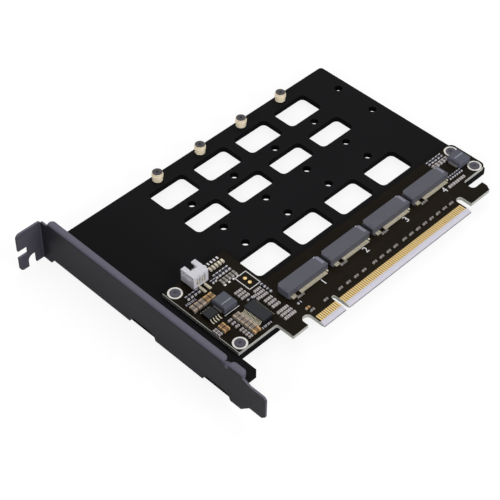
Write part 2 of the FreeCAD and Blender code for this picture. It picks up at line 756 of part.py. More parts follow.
def power_header_pins():
    rear = HEADER_Y - HEADER_D / 2
    tip = HEADER_Y + HEADER_D / 2 - HEADER_PIN_SET_BACK
    half = HEADER_PIN_W / 2
    bend = rear - HEADER_PIN_OUT
    profile = [
        (bend - HEADER_FOOT, 0, 0),
        (bend + HEADER_PIN_W, 0, 0),
        (bend + HEADER_PIN_W, HEADER_PIN_Z - half, 0),
        (tip, HEADER_PIN_Z - half, 0),
        (tip, HEADER_PIN_Z + half, 0),
        (bend, HEADER_PIN_Z + half, 0),
        (bend, HEADER_FOOT_T, 0),
        (bend - HEADER_FOOT, HEADER_FOOT_T, 0),
    ]
    xs = [HEADER_X + side * HEADER_PIN_PITCH / 2 for side in (-1, 1)]
    return [x_profile(profile, x - half, x + half) for x in xs]


# ---------------------------------------------------------------- coils and chips
def inductor(x, y, wide, deep, high):
    """Moulded power coil: square block with its upper rim chamfered."""
    body = block(x, y, 0, wide, deep, high)
    rim = [e for e in body.Edges if e.BoundBox.ZMin > high - 0.01]
    return body.makeChamfer(INDUCTOR_CHAMFER, rim)


def inductor_terminals(x, y, wide, deep):
    """Tinned straps against both ends of a coil."""
    reach = wide / 2 + TERMINAL_T / 2
    return [block(x + side * reach, y, 0, TERMINAL_T, deep * TERMINAL_SHARE, TERMINAL_H)
            for side in (-1, 1)]


def lead(x, y, along_x, outward, wide, rise):
    """Bent chip lead: a foot on the board and an upright against the body."""
    far = outward * LEAD_OUT
    near = outward * LEAD_T
    points = [(0, 0), (far, 0), (far, LEAD_T), (near, LEAD_T), (near, rise), (0, rise)]
    if along_x:
        return y_profile([(x + a, z, 0) for a, z in points], y - wide / 2, y + wide / 2)
    return x_profile([(y + a, z, 0) for a, z in points], x - wide / 2, x + wide / 2)


def clock_leads():
    leads = []
    for side in (-1, 1):
        x = CLOCK_X + side * CLOCK_W / 2
        for i in range(CLOCK_LEADS):
            y = CLOCK_Y + (i - (CLOCK_LEADS - 1) / 2) * CLOCK_PITCH
            leads.append(lead(x, y, True, side, CLOCK_LEAD_W, CLOCK_H / 2))
    return leads


def regulator_leads():
    leads = []
    for side in (-1, 1):
        y = REGULATOR_Y + side * REGULATOR_D / 2
        for i in range(REGULATOR_LEADS):
            x = REGULATOR_X + (i - (REGULATOR_LEADS - 1) / 2) * REGULATOR_PITCH
            leads.append(lead(x, y, False, side, REGULATOR_LEAD_W, REGULATOR_H / 2))
    return leads


# ---------------------------------------------------------------- small parts
def grid(columns, rows, wide, deep, high):
    """Equal small parts on every crossing of the given columns and rows."""
    return [block(x, y, 0, wide, deep, high) for x in run(*columns) for y in run(*rows)]


def groups(table, high):
    """All the small parts of one kind, of one height."""
    parts = []
    for columns, rows, wide, deep in table:
        parts.extend(grid(columns, rows, wide, deep, high))
    return parts


def slot_capacitors():
    wide, deep = SLOT_CAPACITOR_SIZE
    parts = []
    for x in bay_xs:
        columns = (x + SLOT_CAPACITOR_X, SLOT_CAPACITOR_PITCH, 2)
        parts.extend(grid(columns, (SLOT_CAPACITOR_Y, 0, 1), wide, deep, FILTER_H))
    return parts


save("carrier_plate", [carrier_plate()])
save("circuit_board", [circuit_board()])
short_side = (-KEY_TO_CONTACT, -1, SHORT_SIDE_CONTACTS)
long_side = (KEY_TO_CONTACT, 1, LONG_SIDE_CONTACTS)
save("edge_contacts_front", edge_contact_row(*short_side) + edge_contact_row(*long_side))
save("edge_contacts_back", [edge_contact_field(*short_side), edge_contact_field(*long_side)])
save("slot_bracket", [slot_bracket()])
save("bracket_screws", bracket_screws())
save("board_screws", board_screws())
save("drive_standoffs", [drive_standoff(x) for x in bay_xs])
save("drive_screws", [drive_screw(x) for x in bay_xs])
for number, bay in enumerate(bay_xs, start=1):
    save("drive_socket_" + str(number), [socket_housing(bay)])
    save("socket_contacts_" + str(number), socket_contacts(bay))
    save("socket_clips_" + str(number), socket_clips(bay))
save("power_header", [power_header()])
save("power_header_pins", power_header_pins())
save("main_inductor", [inductor(*MAIN_INDUCTOR)])
save("main_inductor_terminals", inductor_terminals(*MAIN_INDUCTOR[:4]))
save("end_inductor", [inductor(*END_INDUCTOR)])
save("end_inductor_terminals", inductor_terminals(*END_INDUCTOR[:4]))
save("clock_chip", [block(CLOCK_X, CLOCK_Y, 0, CLOCK_W, CLOCK_D, CLOCK_H)])
save("clock_leads", clock_leads())
save("regulator_chip", [block(REGULATOR_X, REGULATOR_Y, 0, REGULATOR_W, REGULATOR_D, REGULATOR_H)])
save("regulator_leads", regulator_leads())
save("bulk_capacitors", groups(BULK_CAPACITORS, BULK_H))
save("filter_capacitors", groups(FILTER_CAPACITORS, FILTER_H))
save("filter_resistors", groups(FILTER_RESISTORS, RESISTOR_H))
save("slot_capacitors", slot_capacitors())
save("coupling_capacitors", groups(COUPLING_CAPACITORS, FILTER_H))
save("status_leds", groups(STATUS_LEDS, LED_H))
save("led_resistors", groups(LED_RESISTORS, RESISTOR_H))
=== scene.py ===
import math

import bmesh
import bpy
from mathutils import Matrix, Vector


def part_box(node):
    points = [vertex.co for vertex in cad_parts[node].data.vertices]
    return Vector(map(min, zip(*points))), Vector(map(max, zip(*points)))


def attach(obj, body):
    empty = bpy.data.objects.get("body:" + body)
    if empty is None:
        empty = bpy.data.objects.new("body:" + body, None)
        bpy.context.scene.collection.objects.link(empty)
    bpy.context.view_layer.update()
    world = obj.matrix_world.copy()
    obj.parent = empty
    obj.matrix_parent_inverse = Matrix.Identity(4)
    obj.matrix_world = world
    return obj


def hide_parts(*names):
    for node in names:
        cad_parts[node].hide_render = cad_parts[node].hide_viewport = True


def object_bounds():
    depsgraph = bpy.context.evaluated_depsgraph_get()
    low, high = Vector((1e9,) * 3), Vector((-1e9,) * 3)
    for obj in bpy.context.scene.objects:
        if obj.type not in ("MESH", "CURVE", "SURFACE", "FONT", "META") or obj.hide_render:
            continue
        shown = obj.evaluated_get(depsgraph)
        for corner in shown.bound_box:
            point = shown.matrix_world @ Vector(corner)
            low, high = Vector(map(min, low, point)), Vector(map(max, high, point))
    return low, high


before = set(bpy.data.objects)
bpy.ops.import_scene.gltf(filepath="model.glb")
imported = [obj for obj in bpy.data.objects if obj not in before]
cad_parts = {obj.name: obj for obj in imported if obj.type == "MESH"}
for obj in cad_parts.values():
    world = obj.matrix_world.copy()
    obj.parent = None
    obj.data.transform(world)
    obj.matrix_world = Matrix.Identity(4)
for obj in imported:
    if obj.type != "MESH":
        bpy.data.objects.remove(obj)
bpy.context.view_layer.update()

bl_info = {
    "name": "Drive adapter card",
    "version": (1, 0, 0),
    "blender": (4, 5, 0),
    "location": "3D View > Sidebar > Adapter card",
    "description": "Dresses the packed drive adapter card and sets its studio",
    "category": "Object",
}

MM = 0.001

# drive bays, in metres
BAY_COUNT = 4
BAY_FIRST_X = -2.0 * MM
BAY_PITCH = 23.75 * MM
STANDOFF_Y = 101.5 * MM
BAY_XS = [BAY_FIRST_X + i * BAY_PITCH for i in range(BAY_COUNT)]


# ---- shader maths
class Val:
    """One number socket that can be used in Python expressions."""

    def __init__(self, mat, socket):
        self.mat = mat
        self.socket = socket

    def op(self, kind, *others):
        return self.mat.number("ShaderNodeMath", {"operation": kind}, self, *others)

    def __add__(self, other):
        return self.op("ADD", other)

    def __sub__(self, other):
        return self.op("SUBTRACT", other)

    def __rsub__(self, other):
        return self.mat.number("ShaderNodeMath", {"operation": "SUBTRACT"}, other, self)

    def __mul__(self, other):
        return self.op("MULTIPLY", other)

    def below(self, other):
        return self.op("LESS_THAN", other)

    def above(self, other):
        return self.op("GREATER_THAN", other)

    def most(self, other):
        return self.op("MAXIMUM", other)

    def size(self):
        return self.op("ABSOLUTE")

    def wrap(self, pitch):
        """Distance from the nearest multiple of pitch."""
        return self.op("PINGPONG", pitch / 2)


class Nodes:
    """A node tree in the making."""

    def __init__(self, tree):
        self.tree = tree

    def node(self, kind, settings, inputs):
        """Adds one node: its settings first, then the values or links of its sockets."""
        made = self.tree.nodes.new(kind)
        for key, value in settings.items():
            if key == "stops":
                ramp = made.color_ramp
                while len(ramp.elements) < len(value):
                    ramp.elements.new(0.5)
                for element, (place, colour) in zip(ramp.elements, value):
                    element.position = place
                    element.color = (*colour, 1)
            else:
                setattr(made, key, value)
        for key, value in inputs.items():
            self.feed(made.inputs[key], value)
        return made

    def feed(self, socket, value):
        if isinstance(value, Val):
            value = value.socket
        if isinstance(value, bpy.types.NodeSocket):
            self.tree.links.new(value, socket)
        elif isinstance(value, tuple) and len(value) == 3 and socket.type == "RGBA":
            socket.default_value = (*value, 1)
        else:
            socket.default_value = value

    def number(self, kind, settings, *values):
        made = self.node(kind, settings, dict(enumerate(values)))
        return Val(self, made.outputs[0])


class Finish(Nodes):
    """A node material in the making."""

    def __init__(self, name, colour, roughness, metallic=0.0, coat=0.0, specular=0.5):
        self.material = bpy.data.materials.new(name)
        self.material.use_nodes = True
        super().__init__(self.material.node_tree)
        self.shader = self.tree.nodes["Principled BSDF"]
        self.shader.inputs["Base Color"].default_value = (*colour, 1)
        self.shader.inputs["Roughness"].default_value = roughness
        self.shader.inputs["Metallic"].default_value = metallic
        self.shader.inputs["Coat Weight"].default_value = coat
        self.shader.inputs["Coat Roughness"].default_value = 0.2
        self.shader.inputs["Specular IOR Level"].default_value = specular
        self.material.diffuse_color = (*colour, 1)

    def place(self):
        """Object coordinates, in metres, and their three numbers."""
        coords = self.node("ShaderNodeTexCoord", {}, {}).outputs["Object"]
        split = self.node("ShaderNodeSeparateXYZ", {}, {0: coords})
        return coords, [Val(self, out) for out in split.outputs]

    def normal(self):
        geometry = self.node("ShaderNodeNewGeometry", {}, {})
        split = self.node("ShaderNodeSeparateXYZ", {}, {0: geometry.outputs["Normal"]})
        return [Val(self, out) for out in split.outputs]

    def noise(self, coords, scale, detail=2.0, stretch=None):
        if stretch:
            coords = self.node("ShaderNodeMapping", {}, {0: coords, "Scale": stretch}).outputs[0]
        made = self.node("ShaderNodeTexNoise", {}, {"Vector": coords, "Scale": scale,
                                                   "Detail": detail})
        return Val(self, made.outputs[0])

    def cells(self, coords, scale):
        made = self.node("ShaderNodeTexVoronoi", {}, {"Vector": coords, "Scale": scale})
        return Val(self, made.outputs["Distance"])

    def mix(self, factor, low, high):
        made = self.node("ShaderNodeMix", {"data_type": "RGBA"}, {})
        self.feed(made.inputs["Factor"], factor)
        self.feed(made.inputs[6], low)
        self.feed(made.inputs[7], high)
        return made.outputs[2]

    def spread(self, value, low, high):
        """Maps a 0 to 1 value onto low to high."""
        return value * (high - low) + low

    def colour(self, socket):
        self.feed(self.shader.inputs["Base Color"], socket)

    def rough(self, value):
        self.feed(self.shader.inputs["Roughness"], value)

    def metal(self, value):
        self.feed(self.shader.inputs["Metallic"], value)

    def bump(self, height, distance, strength=1.0):
        made = self.node("ShaderNodeBump", {}, {"Strength": strength, "Distance": distance,
                                               "Height": height})
        self.feed(self.shader.inputs["Normal"], made.outputs[0])


# ---- finishes
BARE_TONGUE = (0.595, 0.58, 0.65)
BARE_TOP = 2.4 * MM
BARE_LEFT = -13.5 * MM
# painted shade: share of the plate colour on its upright walls
PAINTED_WALL_SHADE = 0.35
# painted highlight: the bracket's up-facing faces are drawn this many times lighter, Y-facing ones
# by the share below
BRACKET_PAINTED_HIGHLIGHT = 11.8
BRACKET_SIDE_HIGHLIGHT_SHARE = 0.44
# painted light: width of a pale strip on the board's top at its left edge, standing in for the lit
# cut edge
PAINTED_LIT_RIM_WIDTH = 0.3 * MM
# painted shade on the front face of the board's tip
PAINTED_SHADE_FRONT_EDGE = (0.11, 0.11, 0.13)
TRACK_PITCH = 0.9 * MM
TRACK_HALF = 0.17 * MM
WEAVE_PITCH = 0.32 * MM
WEAVE_HALF = 0.05 * MM


def scaled(colour, share):
    """Colour times a share, kept below full."""
    return tuple(min(1, c * share) for c in colour)


def finger_finish(colour):
    """Gold contacts that end short of the bare tip; every second one ends lower."""
    mat = metal_finish("gold_contacts", colour, 0.34, 0.18, whole=False)
    _, (x, y, _) = mat.place()
    second = (x + 200.45 * MM).wrap(2 * MM).below(1 * MM)
    bare = y.below(BARE_TOP + 0.25 * MM - second * (0.35 * MM))
    skin = mat.shader.inputs["Base Color"].links[0].from_socket
    mat.colour(mat.mix(bare, skin, BARE_TONGUE))
    mat.metal(0.6 - bare * 0.6)
    return mat.material


def plate_finish(colour):
    """Satin black coat over sheet metal, with a fine grain; its upright walls carry painted shade
    and are darker.
    """
    mat = Finish("plate_black_coat", colour, 0.55, specular=0.03)
    coords, _ = mat.place()
    _, _, nz = mat.normal()
    grain = mat.noise(coords, 1400, 3)
    cloud = mat.noise(coords, 18, 2)
    skin = mat.mix(cloud, scaled(colour, 0.85), scaled(colour, 1.2))
    # painted shade: upright walls are drawn darker than the flat faces
    mat.colour(mat.mix(nz.size().below(0.5), skin, scaled(colour, PAINTED_WALL_SHADE)))
    mat.rough(mat.spread(grain, 0.5, 0.62))
    mat.bump(grain, 0.00003, 0.3)
    return mat.material


def bracket_finish(colour):
    """Dark brushed steel; faces that look up or along Y carry a painted highlight and are lighter
    than the rest.
    """
    mat = Finish("bracket_dark_steel", colour, 0.36, specular=0.12)
    coords, _ = mat.place()
    _, ny, nz = mat.normal()
    brush = mat.noise(coords, 900, 3, (1.0, 0.05, 1.0))
    cloud = mat.noise(coords, 30, 3)
    skin = mat.mix(cloud, scaled(colour, 0.8), scaled(colour, 1.25))
    # painted highlight: up-facing faces, and Y-facing ones in part, are drawn lighter as if lit
    # from above
    bright = (nz * 1.4 - 0.4).most(ny.size() * BRACKET_SIDE_HIGHLIGHT_SHARE)
    mat.colour(mat.mix(bright, skin, scaled(colour, BRACKET_PAINTED_HIGHLIGHT)))
    mat.rough(mat.spread(brush, 0.3, 0.46))
    mat.bump(brush, 0.00002, 0.3)
    return mat.material


def board_finish(mask, core):
    """Dark solder mask with faint tracks; the cut edges show the pale core, with painted shade on
    the tip's front face and a painted lit strip at the left edge.
    """
    mat = Finish("board_solder_mask", mask, 0.5, specular=0.04)
    coords, (x, y, z) = mat.place()
    _, ny, nz = mat.normal()
    cloud = mat.noise(coords, 60, 3)
    lift = scaled(mask, 2.1)
    track = (x + y * 0.4).wrap(TRACK_PITCH).below(TRACK_HALF)
    zone = y.above(6.0 * MM) * y.below(19.0 * MM) * x.above(-12.0 * MM) * x.below(74.0 * MM)
    tracks = track * zone * mat.noise(coords, 220, 1).above(0.42)
    skin = mat.mix(cloud, scaled(mask, 0.7), scaled(mask, 1.35))
    skin = mat.mix(tracks * 0.5, skin, lift)
    edge = nz.size().below(0.6)
    weave = z.wrap(WEAVE_PITCH).below(WEAVE_HALF)
    side = mat.mix(weave, core, scaled(core, 0.75))
    # painted shade: the front face of the tip is drawn dark
    side = mat.mix(y.below(0.2 * MM) * ny.below(-0.6), side, PAINTED_SHADE_FRONT_EDGE)
    tongue = y.below(BARE_TOP) * x.above(BARE_LEFT)
    skin = mat.mix(tongue, skin, BARE_TONGUE)
    # painted light: a pale core-coloured strip on the top at the left edge stands in for the lit
    # cut edge
    rim = x.below(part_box("circuit_board")[0].x + PAINTED_LIT_RIM_WIDTH) * nz.above(0.6)
    skin = mat.mix(rim, skin, core)
    mat.colour(mat.mix(edge, skin, side))
    mat.rough(mat.spread(edge, 0.46, 0.7))
    mat.bump(tracks, 0.00004, 0.4)
    return mat.material


def moulding_finish(name, colour, rough=0.5, grain=0.5):
    """Moulded plastic or pressed body with a fine matt texture."""
    mat = Finish(name, colour, rough, specular=0.3)
    coords, _ = mat.place()
    fine = mat.noise(coords, 2200, 2)
    cloud = mat.noise(coords, 160, 2)
    mat.colour(mat.mix(cloud, scaled(colour, 0.88), scaled(colour, 1.1)))
    mat.rough(mat.spread(fine, rough - 0.06, rough + 0.08))
    mat.bump(fine, 0.00002, grain)
    return mat.material


def metal_finish(name, colour, rough=0.28, tint=0.15, metallic=0.6, whole=True):
    """Plated metal with slight clouding; not whole gives the unfinished recipe."""
    mat = Finish(name, colour, rough, metallic=metallic)
    coords, _ = mat.place()
    cloud = mat.noise(coords, 420, 3)
    mat.colour(mat.mix(cloud, scaled(colour, 1 - tint), colour))
    mat.rough(mat.spread(cloud, rough - 0.06, rough + 0.1))
    return mat.material if whole else mat


def ceramic_finish(name, colour):
    """Fired ceramic with a faint speckle."""
    mat = Finish(name, colour, 0.45, specular=0.35)
    coords, _ = mat.place()
    speck = mat.cells(coords, 5200)
    cloud = mat.noise(coords, 500, 2)
    mat.colour(mat.mix(cloud, scaled(colour, 0.78), scaled(colour, 1.15)))
    mat.rough(mat.spread(speck, 0.32, 0.5))
    return mat.material


# ---- modelling helpers
def pick(obj):
    bpy.ops.object.select_all(action="DESELECT")
    obj.select_set(True)
    bpy.context.view_layer.objects.active = obj


def apply_place(obj):
    pick(obj)
    bpy.ops.object.transform_apply(location=True, rotation=True, scale=True)


def edit(obj, *steps):
    """Runs edit-mode steps on the whole of a mesh."""
    pick(obj)
    bpy.ops.object.mode_set(mode="EDIT")
    bpy.ops.mesh.select_all(action="SELECT")
    for step in steps:
        step()
    bpy.ops.object.mode_set(mode="OBJECT")


def tidy_mesh(obj):
    edit(obj, lambda: bpy.ops.mesh.remove_doubles(threshold=0.000002),
         lambda: bpy.ops.mesh.normals_make_consistent(inside=False))


def use_modifier(obj, kind, **settings):
    pick(obj)
    made = obj.modifiers.new(kind.title(), kind)
    for key, value in settings.items():
        setattr(made, key, value)
    bpy.ops.object.modifier_apply(modifier=made.name)


def soften(obj, width, segments=2, angle=32):
    """Rounds the sharp edges and shades the rest smooth."""
    use_modifier(obj, "BEVEL", width=width, segments=segments, limit_method="ANGLE",
                 angle_limit=math.radians(angle), use_clamp_overlap=True)
    pick(obj)
    bpy.ops.object.shade_smooth_by_angle(angle=math.radians(angle))
    use_modifier(obj, "WEIGHTED_NORMAL", weight=100, keep_sharp=True)


def slab(name, low, high):
    """Block between two corners."""
    centre = [(a + b) / 2 for a, b in zip(low, high)]
    bpy.ops.object.select_all(action="DESELECT")
    bpy.ops.mesh.primitive_cube_add(size=1, location=centre)
    obj = bpy.context.object
    obj.name = name
    obj.scale = [b - a for a, b in zip(low, high)]
    apply_place(obj)
    return obj


def disc(name, centre, radius, height, sides=40):
    """Upright drum whose lowest face is at the centre given."""
    bpy.ops.object.select_all(action="DESELECT")
    place = (centre[0], centre[1], centre[2] + height / 2)
    bpy.ops.mesh.primitive_cylinder_add(vertices=sides, radius=radius, depth=height,
                                        location=place)
    obj = bpy.context.object
    obj.name = name
    apply_place(obj)
    return obj


def ring(name, centre, inner, outer, height, sides=48):
    """Flat washer, turned from its section."""
    section = ((inner, 0), (outer, 0), (outer, height), (inner, height))
    return turned(name, section, centre, sides, closed=True)


def wire(name, points, closed, fill=False, half=0.0):
    """Poly line as a mesh; a filled one becomes a plate of twice the half width."""
    curve = bpy.data.curves.new(name, "CURVE")
    curve.dimensions = "2D" if fill else "3D"
    curve.fill_mode = "BOTH" if fill else "FULL"
    curve.extrude = half
    spline = curve.splines.new("POLY")
    spline.points.add(len(points) - 1)
    for point, place in zip(spline.points, points):
        point.co = (*place, 1)
    spline.use_cyclic_u = closed
    obj = bpy.data.objects.new(name, curve)
    bpy.context.scene.collection.objects.link(obj)
    pick(obj)
    bpy.ops.object.convert(target="MESH")
    return bpy.context.object


def turned(name, section, centre, sides=48, closed=False):
    """Body of revolution from (radius, height) points about an upright axis."""
    obj = wire(name, [(r, 0, z) for r, z in section], closed)
    edit(obj, lambda: bpy.ops.mesh.spin(steps=sides, angle=2 * math.pi, center=(0, 0, 0),
                                        axis=(0, 0, 1)))
    tidy_mesh(obj)
    obj.data.transform(Matrix.Translation(centre))
    return obj


def plate_yz(name, points, x, wide):
    """Plate from (y, z) points, centred on x and wide across it."""
    obj = wire(name, [(y, z, 0) for y, z in points], True, True, wide / 2)
    obj.data.transform(Matrix(((0, 0, 1, x), (1, 0, 0, 0), (0, 1, 0, 0), (0, 0, 0, 1))))
    tidy_mesh(obj)
    return obj


def plate_xz(name, points, y, wide):
    """Plate from (x, z) points, centred on y and wide across it."""
    obj = wire(name, [(x, z, 0) for x, z in points], True, True, wide / 2)
    obj.data.transform(Matrix(((1, 0, 0, 0), (0, 0, -1, y), (0, 1, 0, 0), (0, 0, 0, 1))))
    tidy_mesh(obj)
    return obj


def cut(obj, *tools):
    """Takes the tools' shapes out of obj."""
    for tool in tools:
        use_modifier(obj, "BOOLEAN", operation="DIFFERENCE", object=tool, solver="EXACT")
        bpy.data.objects.remove(tool)


def twin_of(template, place):
    """Copy of a piece with its own mesh, moved to its place."""
    twin = template.copy()
    twin.data = template.data.copy()
    twin.data.transform(place if isinstance(place, Matrix) else Matrix.Translation(place))
    bpy.context.scene.collection.objects.link(twin)
    return twin


def copies(template, places, name):
    """One piece from a template repeated at places, each copy with its own mesh."""
    made = [twin_of(template, place) for place in places]
    bpy.data.objects.remove(template)
    return join(made, name)


def join(parts, name):
    bpy.ops.object.select_all(action="DESELECT")
    for part in parts:
        part.select_set(True)
    bpy.context.view_layer.objects.active = parts[0]
    if len(parts) > 1:
        bpy.ops.object.join()
    obj = bpy.context.view_layer.objects.active
    obj.name = name
    obj.data.name = name
    return obj


def from_node(node):
    """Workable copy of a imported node: merged, with its flat faces whole again."""
    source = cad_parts[node]
    obj = source.copy()
    obj.data = source.data.copy()
    obj.parent = None
    for key in list(obj.keys()):
        del obj[key]
    bpy.context.scene.collection.objects.link(obj)
    edit(obj, lambda: bpy.ops.mesh.remove_doubles(threshold=0.000001),
         lambda: bpy.ops.mesh.dissolve_limited(angle_limit=math.radians(0.5)))
    return obj


def solids_of(node):
    """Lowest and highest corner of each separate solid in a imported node."""
    mesh = bmesh.new()
    mesh.from_mesh(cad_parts[node].data)
    bmesh.ops.remove_doubles(mesh, verts=mesh.verts, dist=0.000001)
    left = set(mesh.verts)
    found = []
    while left:
        seed = left.pop()
        group = [seed]
        stack = [seed]
        while stack:
            for link in stack.pop().link_edges:
                for vert in link.verts:
                    if vert in left:
                        left.remove(vert)
                        group.append(vert)
                        stack.append(vert)
        low = Vector([min(v.co[i] for v in group) for i in range(3)])
        high = Vector([max(v.co[i] for v in group) for i in range(3)])
        found.append((low, high))
    mesh.free()
    return sorted(found, key=lambda box: (round(box[0].x, 5), round(box[0].y, 5)))


def hand_over(obj, name, material, slot, *nodes):
    """Names, colours and seats a finished piece on the part."""
    obj.name = name
    obj.data.name = name
    obj.data.materials.clear()
    obj.data.materials.append(material)
    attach(obj, "root")
    if nodes:
        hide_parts(*nodes)
    return obj


def dress(node, material):
    """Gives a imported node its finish."""
    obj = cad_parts[node]
    if not obj.material_slots:
        raise RuntimeError("no material slot on " + node)
    for slot in obj.material_slots:
        slot.material = material


# ---- user settings
class CardFinishes(bpy.types.PropertyGroup):
    """Colours of the card's finishes."""

    plate: bpy.props.FloatVectorProperty(
        name="Plate", description="Black coat of the carrier plate",
        default=(0.0085, 0.0085, 0.0095), subtype="COLOR", min=0, max=1)
    bracket: bpy.props.FloatVectorProperty(
        name="Bracket", description="Dark plating of the slot bracket",
        default=(0.0105, 0.0099, 0.0131), subtype="COLOR", min=0, max=1)
    mask: bpy.props.FloatVectorProperty(
        name="Solder mask", description="Dark mask on both faces of the circuit board",
        default=(0.0100, 0.0070, 0.0036), subtype="COLOR", min=0, max=1)
    core: bpy.props.FloatVectorProperty(
        name="Board core", description="Pale core seen at the cut edges of the board",
        default=(0.44, 0.44, 0.41), subtype="COLOR", min=0, max=1)
    gold: bpy.props.FloatVectorProperty(
        name="Gold", description="Plating of contacts and pads",
        default=(0.72, 0.52, 0.22), subtype="COLOR", min=0, max=1)
    tin: bpy.props.FloatVectorProperty(
        name="Tin", description="Solder and tinned leads",
        default=(0.62, 0.6, 0.56), subtype="COLOR", min=0, max=1)
    socket: bpy.props.FloatVectorProperty(
        name="Socket", description="Moulding of the drive sockets",
        default=(0.078, 0.079, 0.1), subtype="COLOR", min=0, max=1)
    header: bpy.props.FloatVectorProperty(
        name="Header", description="Moulding of the power header",
        default=(0.64, 0.63, 0.68), subtype="COLOR", min=0, max=1)
    coil: bpy.props.FloatVectorProperty(
        name="Coil", description="Pressed body of the inductors",
        default=(0.081, 0.085, 0.11), subtype="COLOR", min=0, max=1)
    package: bpy.props.FloatVectorProperty(
        name="Chip package", description="Moulding of the chips",
        default=(0.009, 0.010, 0.0145), subtype="COLOR", min=0, max=1)
    screw: bpy.props.FloatVectorProperty(
        name="Screw", description="Dark plating of the screws",
        default=(0.085, 0.08, 0.105), subtype="COLOR", min=0, max=1)
    pillar: bpy.props.FloatVectorProperty(
        name="Pillar", description="Pale plating of the drive standoffs",
        default=(0.95, 0.83, 0.62), subtype="COLOR", min=0, max=1)
    ceramic: bpy.props.FloatVectorProperty(
        name="Ceramic", description="Body of the ceramic capacitors",
        default=(0.2, 0.165, 0.135), subtype="COLOR", min=0, max=1)


class CardSizes(bpy.types.PropertyGroup):
    """Small sizes that only the dressed card has."""

    sheet_round: bpy.props.FloatProperty(
        name="Sheet edge", description="Edge rounding of sheet pieces",
        default=0.12 * MM, unit="LENGTH", min=0)
    mould_round: bpy.props.FloatProperty(
        name="Moulding edge", description="Edge rounding of moulded pieces",
        default=0.1 * MM, unit="LENGTH", min=0)
    print_height: bpy.props.FloatProperty(
        name="Print height", description="Thickness of printed marks and bare pads",
        default=0.03 * MM, unit="LENGTH", min=0)
    print_width: bpy.props.FloatProperty(
        name="Print width", description="Width of printed lines",
        default=0.32 * MM, unit="LENGTH", min=0)
    screw_pad: bpy.props.FloatProperty(
        name="Screw pad", description="Radius of the bare ring under each board screw",
        default=2.95 * MM, unit="LENGTH", min=0)


def finishes():
    return bpy.context.scene.card_finishes


def sizes():
    return bpy.context.scene.card_sizes


def colour_of(name):
    return tuple(getattr(finishes(), name))


MADE = {}
CERAMICS = {
    "ceramic_end": ("tan_end", (0.46, 0.35, 0.26)),
    "amber": ("amber_ceramic", (0.22, 0.12, 0.045)),
    "amber_end": ("amber_end", (0.66, 0.4, 0.17)),
    "pale": ("pale_ceramic", (0.27, 0.235, 0.23)),
    "pale_end": ("pale_end", (0.6, 0.56, 0.57)),
    "dim": ("dim_ceramic", (0.16, 0.14, 0.13)),
    "dim_end": ("dim_end", (0.3, 0.28, 0.27)),
    "film": ("dark_resistor_film", (0.02, 0.022, 0.035)),
    "grey": ("grey_resistor_body", (0.2, 0.19, 0.16)),
    "grey_end": ("grey_resistor_end", (0.36, 0.34, 0.32)),
    "film_end": ("film_end", (0.58, 0.56, 0.62)),
    "lens_end": ("lens_end", (0.62, 0.52, 0.34)),
    "lens": ("led_lens", (0.78, 0.74, 0.64)),
}


def finish(key):
    """Each finish is made once and shared."""
    if key not in MADE:
        makers = {
            "plate": lambda: plate_finish(colour_of("plate")),
            "bracket": lambda: bracket_finish(colour_of("bracket")),
            "board": lambda: board_finish(colour_of("mask"), colour_of("core")),
            "gold": lambda: metal_finish("gold_plating", colour_of("gold"), 0.3),
            "tin": lambda: metal_finish("bright_tin", colour_of("tin"), 0.26),
            "solder": lambda: metal_finish("solder", (0.42, 0.4, 0.37), 0.4, 0.3),
            "fingers": lambda: finger_finish(colour_of("gold")),
            "cream": lambda: metal_finish("cream_tin", (0.76, 0.7, 0.54), 0.45, 0.2, 0.1),
            "coil_line": lambda: moulding_finish("coil_pressed_line", (0.26, 0.26, 0.32), 0.4),
            "clip_cover": lambda: moulding_finish("socket_end_pad", (0.2, 0.2, 0.26), 0.4),
            "socket": lambda: moulding_finish("socket_moulding", colour_of("socket"), 0.42),
            "header": lambda: moulding_finish("header_moulding", colour_of("header"), 0.45),
            "coil": lambda: moulding_finish("pressed_coil_body", colour_of("coil"), 0.55, 0.8),
            "package": lambda: moulding_finish("chip_moulding", colour_of("package"), 0.5),
            "screw": lambda: metal_finish("dark_screw_plating", colour_of("screw"), 0.4, 0.3),
            "drive_screw": lambda: metal_finish("drive_screw_plating", (0.07, 0.065, 0.075),
                                                0.45, 0.3),
            "pillar": lambda: metal_finish("pale_pillar_plating", colour_of("pillar"), 0.3, 0.2,
                                           0.1),
            "ceramic": lambda: ceramic_finish("tan_ceramic", colour_of("ceramic")),
            "print": lambda: moulding_finish("white_print", (0.78, 0.78, 0.8), 0.6),
        }
        MADE[key] = ceramic_finish(*CERAMICS[key]) if key in CERAMICS else makers[key]()
    return MADE[key]


# ---- sheet pieces and board
def carrier_plate():
    obj = from_node("carrier_plate")
    soften(obj, sizes().sheet_round)
    hand_over(obj, "carrier_plate_coated", finish("plate"), "painted_metal", "carrier_plate")


def slot_bracket():
    obj = from_node("slot_bracket")
    soften(obj, sizes().sheet_round, 2, 40)
    hand_over(obj, "slot_bracket_plated", finish("bracket"), "painted_metal", "slot_bracket")


def circuit_board():
    dress("circuit_board", finish("board"))
    dress("edge_contacts_front", finish("fingers"))


def back_contacts():
    """The plating on the back face as separate contacts, like the front ones."""
    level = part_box("edge_contacts_back")[0].z
    front = solids_of("edge_contacts_front")
    low, high = front[0]
    one = slab("contact", low, high)
    start = (low.x + high.x) / 2
    places = [Vector(((a.x + b.x) / 2 - start, 0, level - low.z)) for a, b in front]
    obj = copies(one, places, "edge_contacts_back_plated")
    hand_over(obj, obj.name, finish("fingers"), "gold", "edge_contacts_back")


PRINTED_LINES = (
    # middle x, middle y, length along x, length along y
    (-16.7, 39.6, 5.9, 0), (-16.7, 31.8, 5.9, 0), (-19.5, 35.7, 0, 7.8), (-13.9, 35.7, 0, 7.8),
    (-31.7, 28.9, 7.4, 0),
)
JUMPER_PADS = ((-16.7, 37.1), (-16.8, 34.5))
TEST_PADS = ((-24.4, 39.9), (-22.2, 39.9), (-19.9, 39.9), (-17.7, 39.9))
DIGIT_X = 5.1
DIGIT_Y = 15.0
DIGIT_SIZE = 4.2


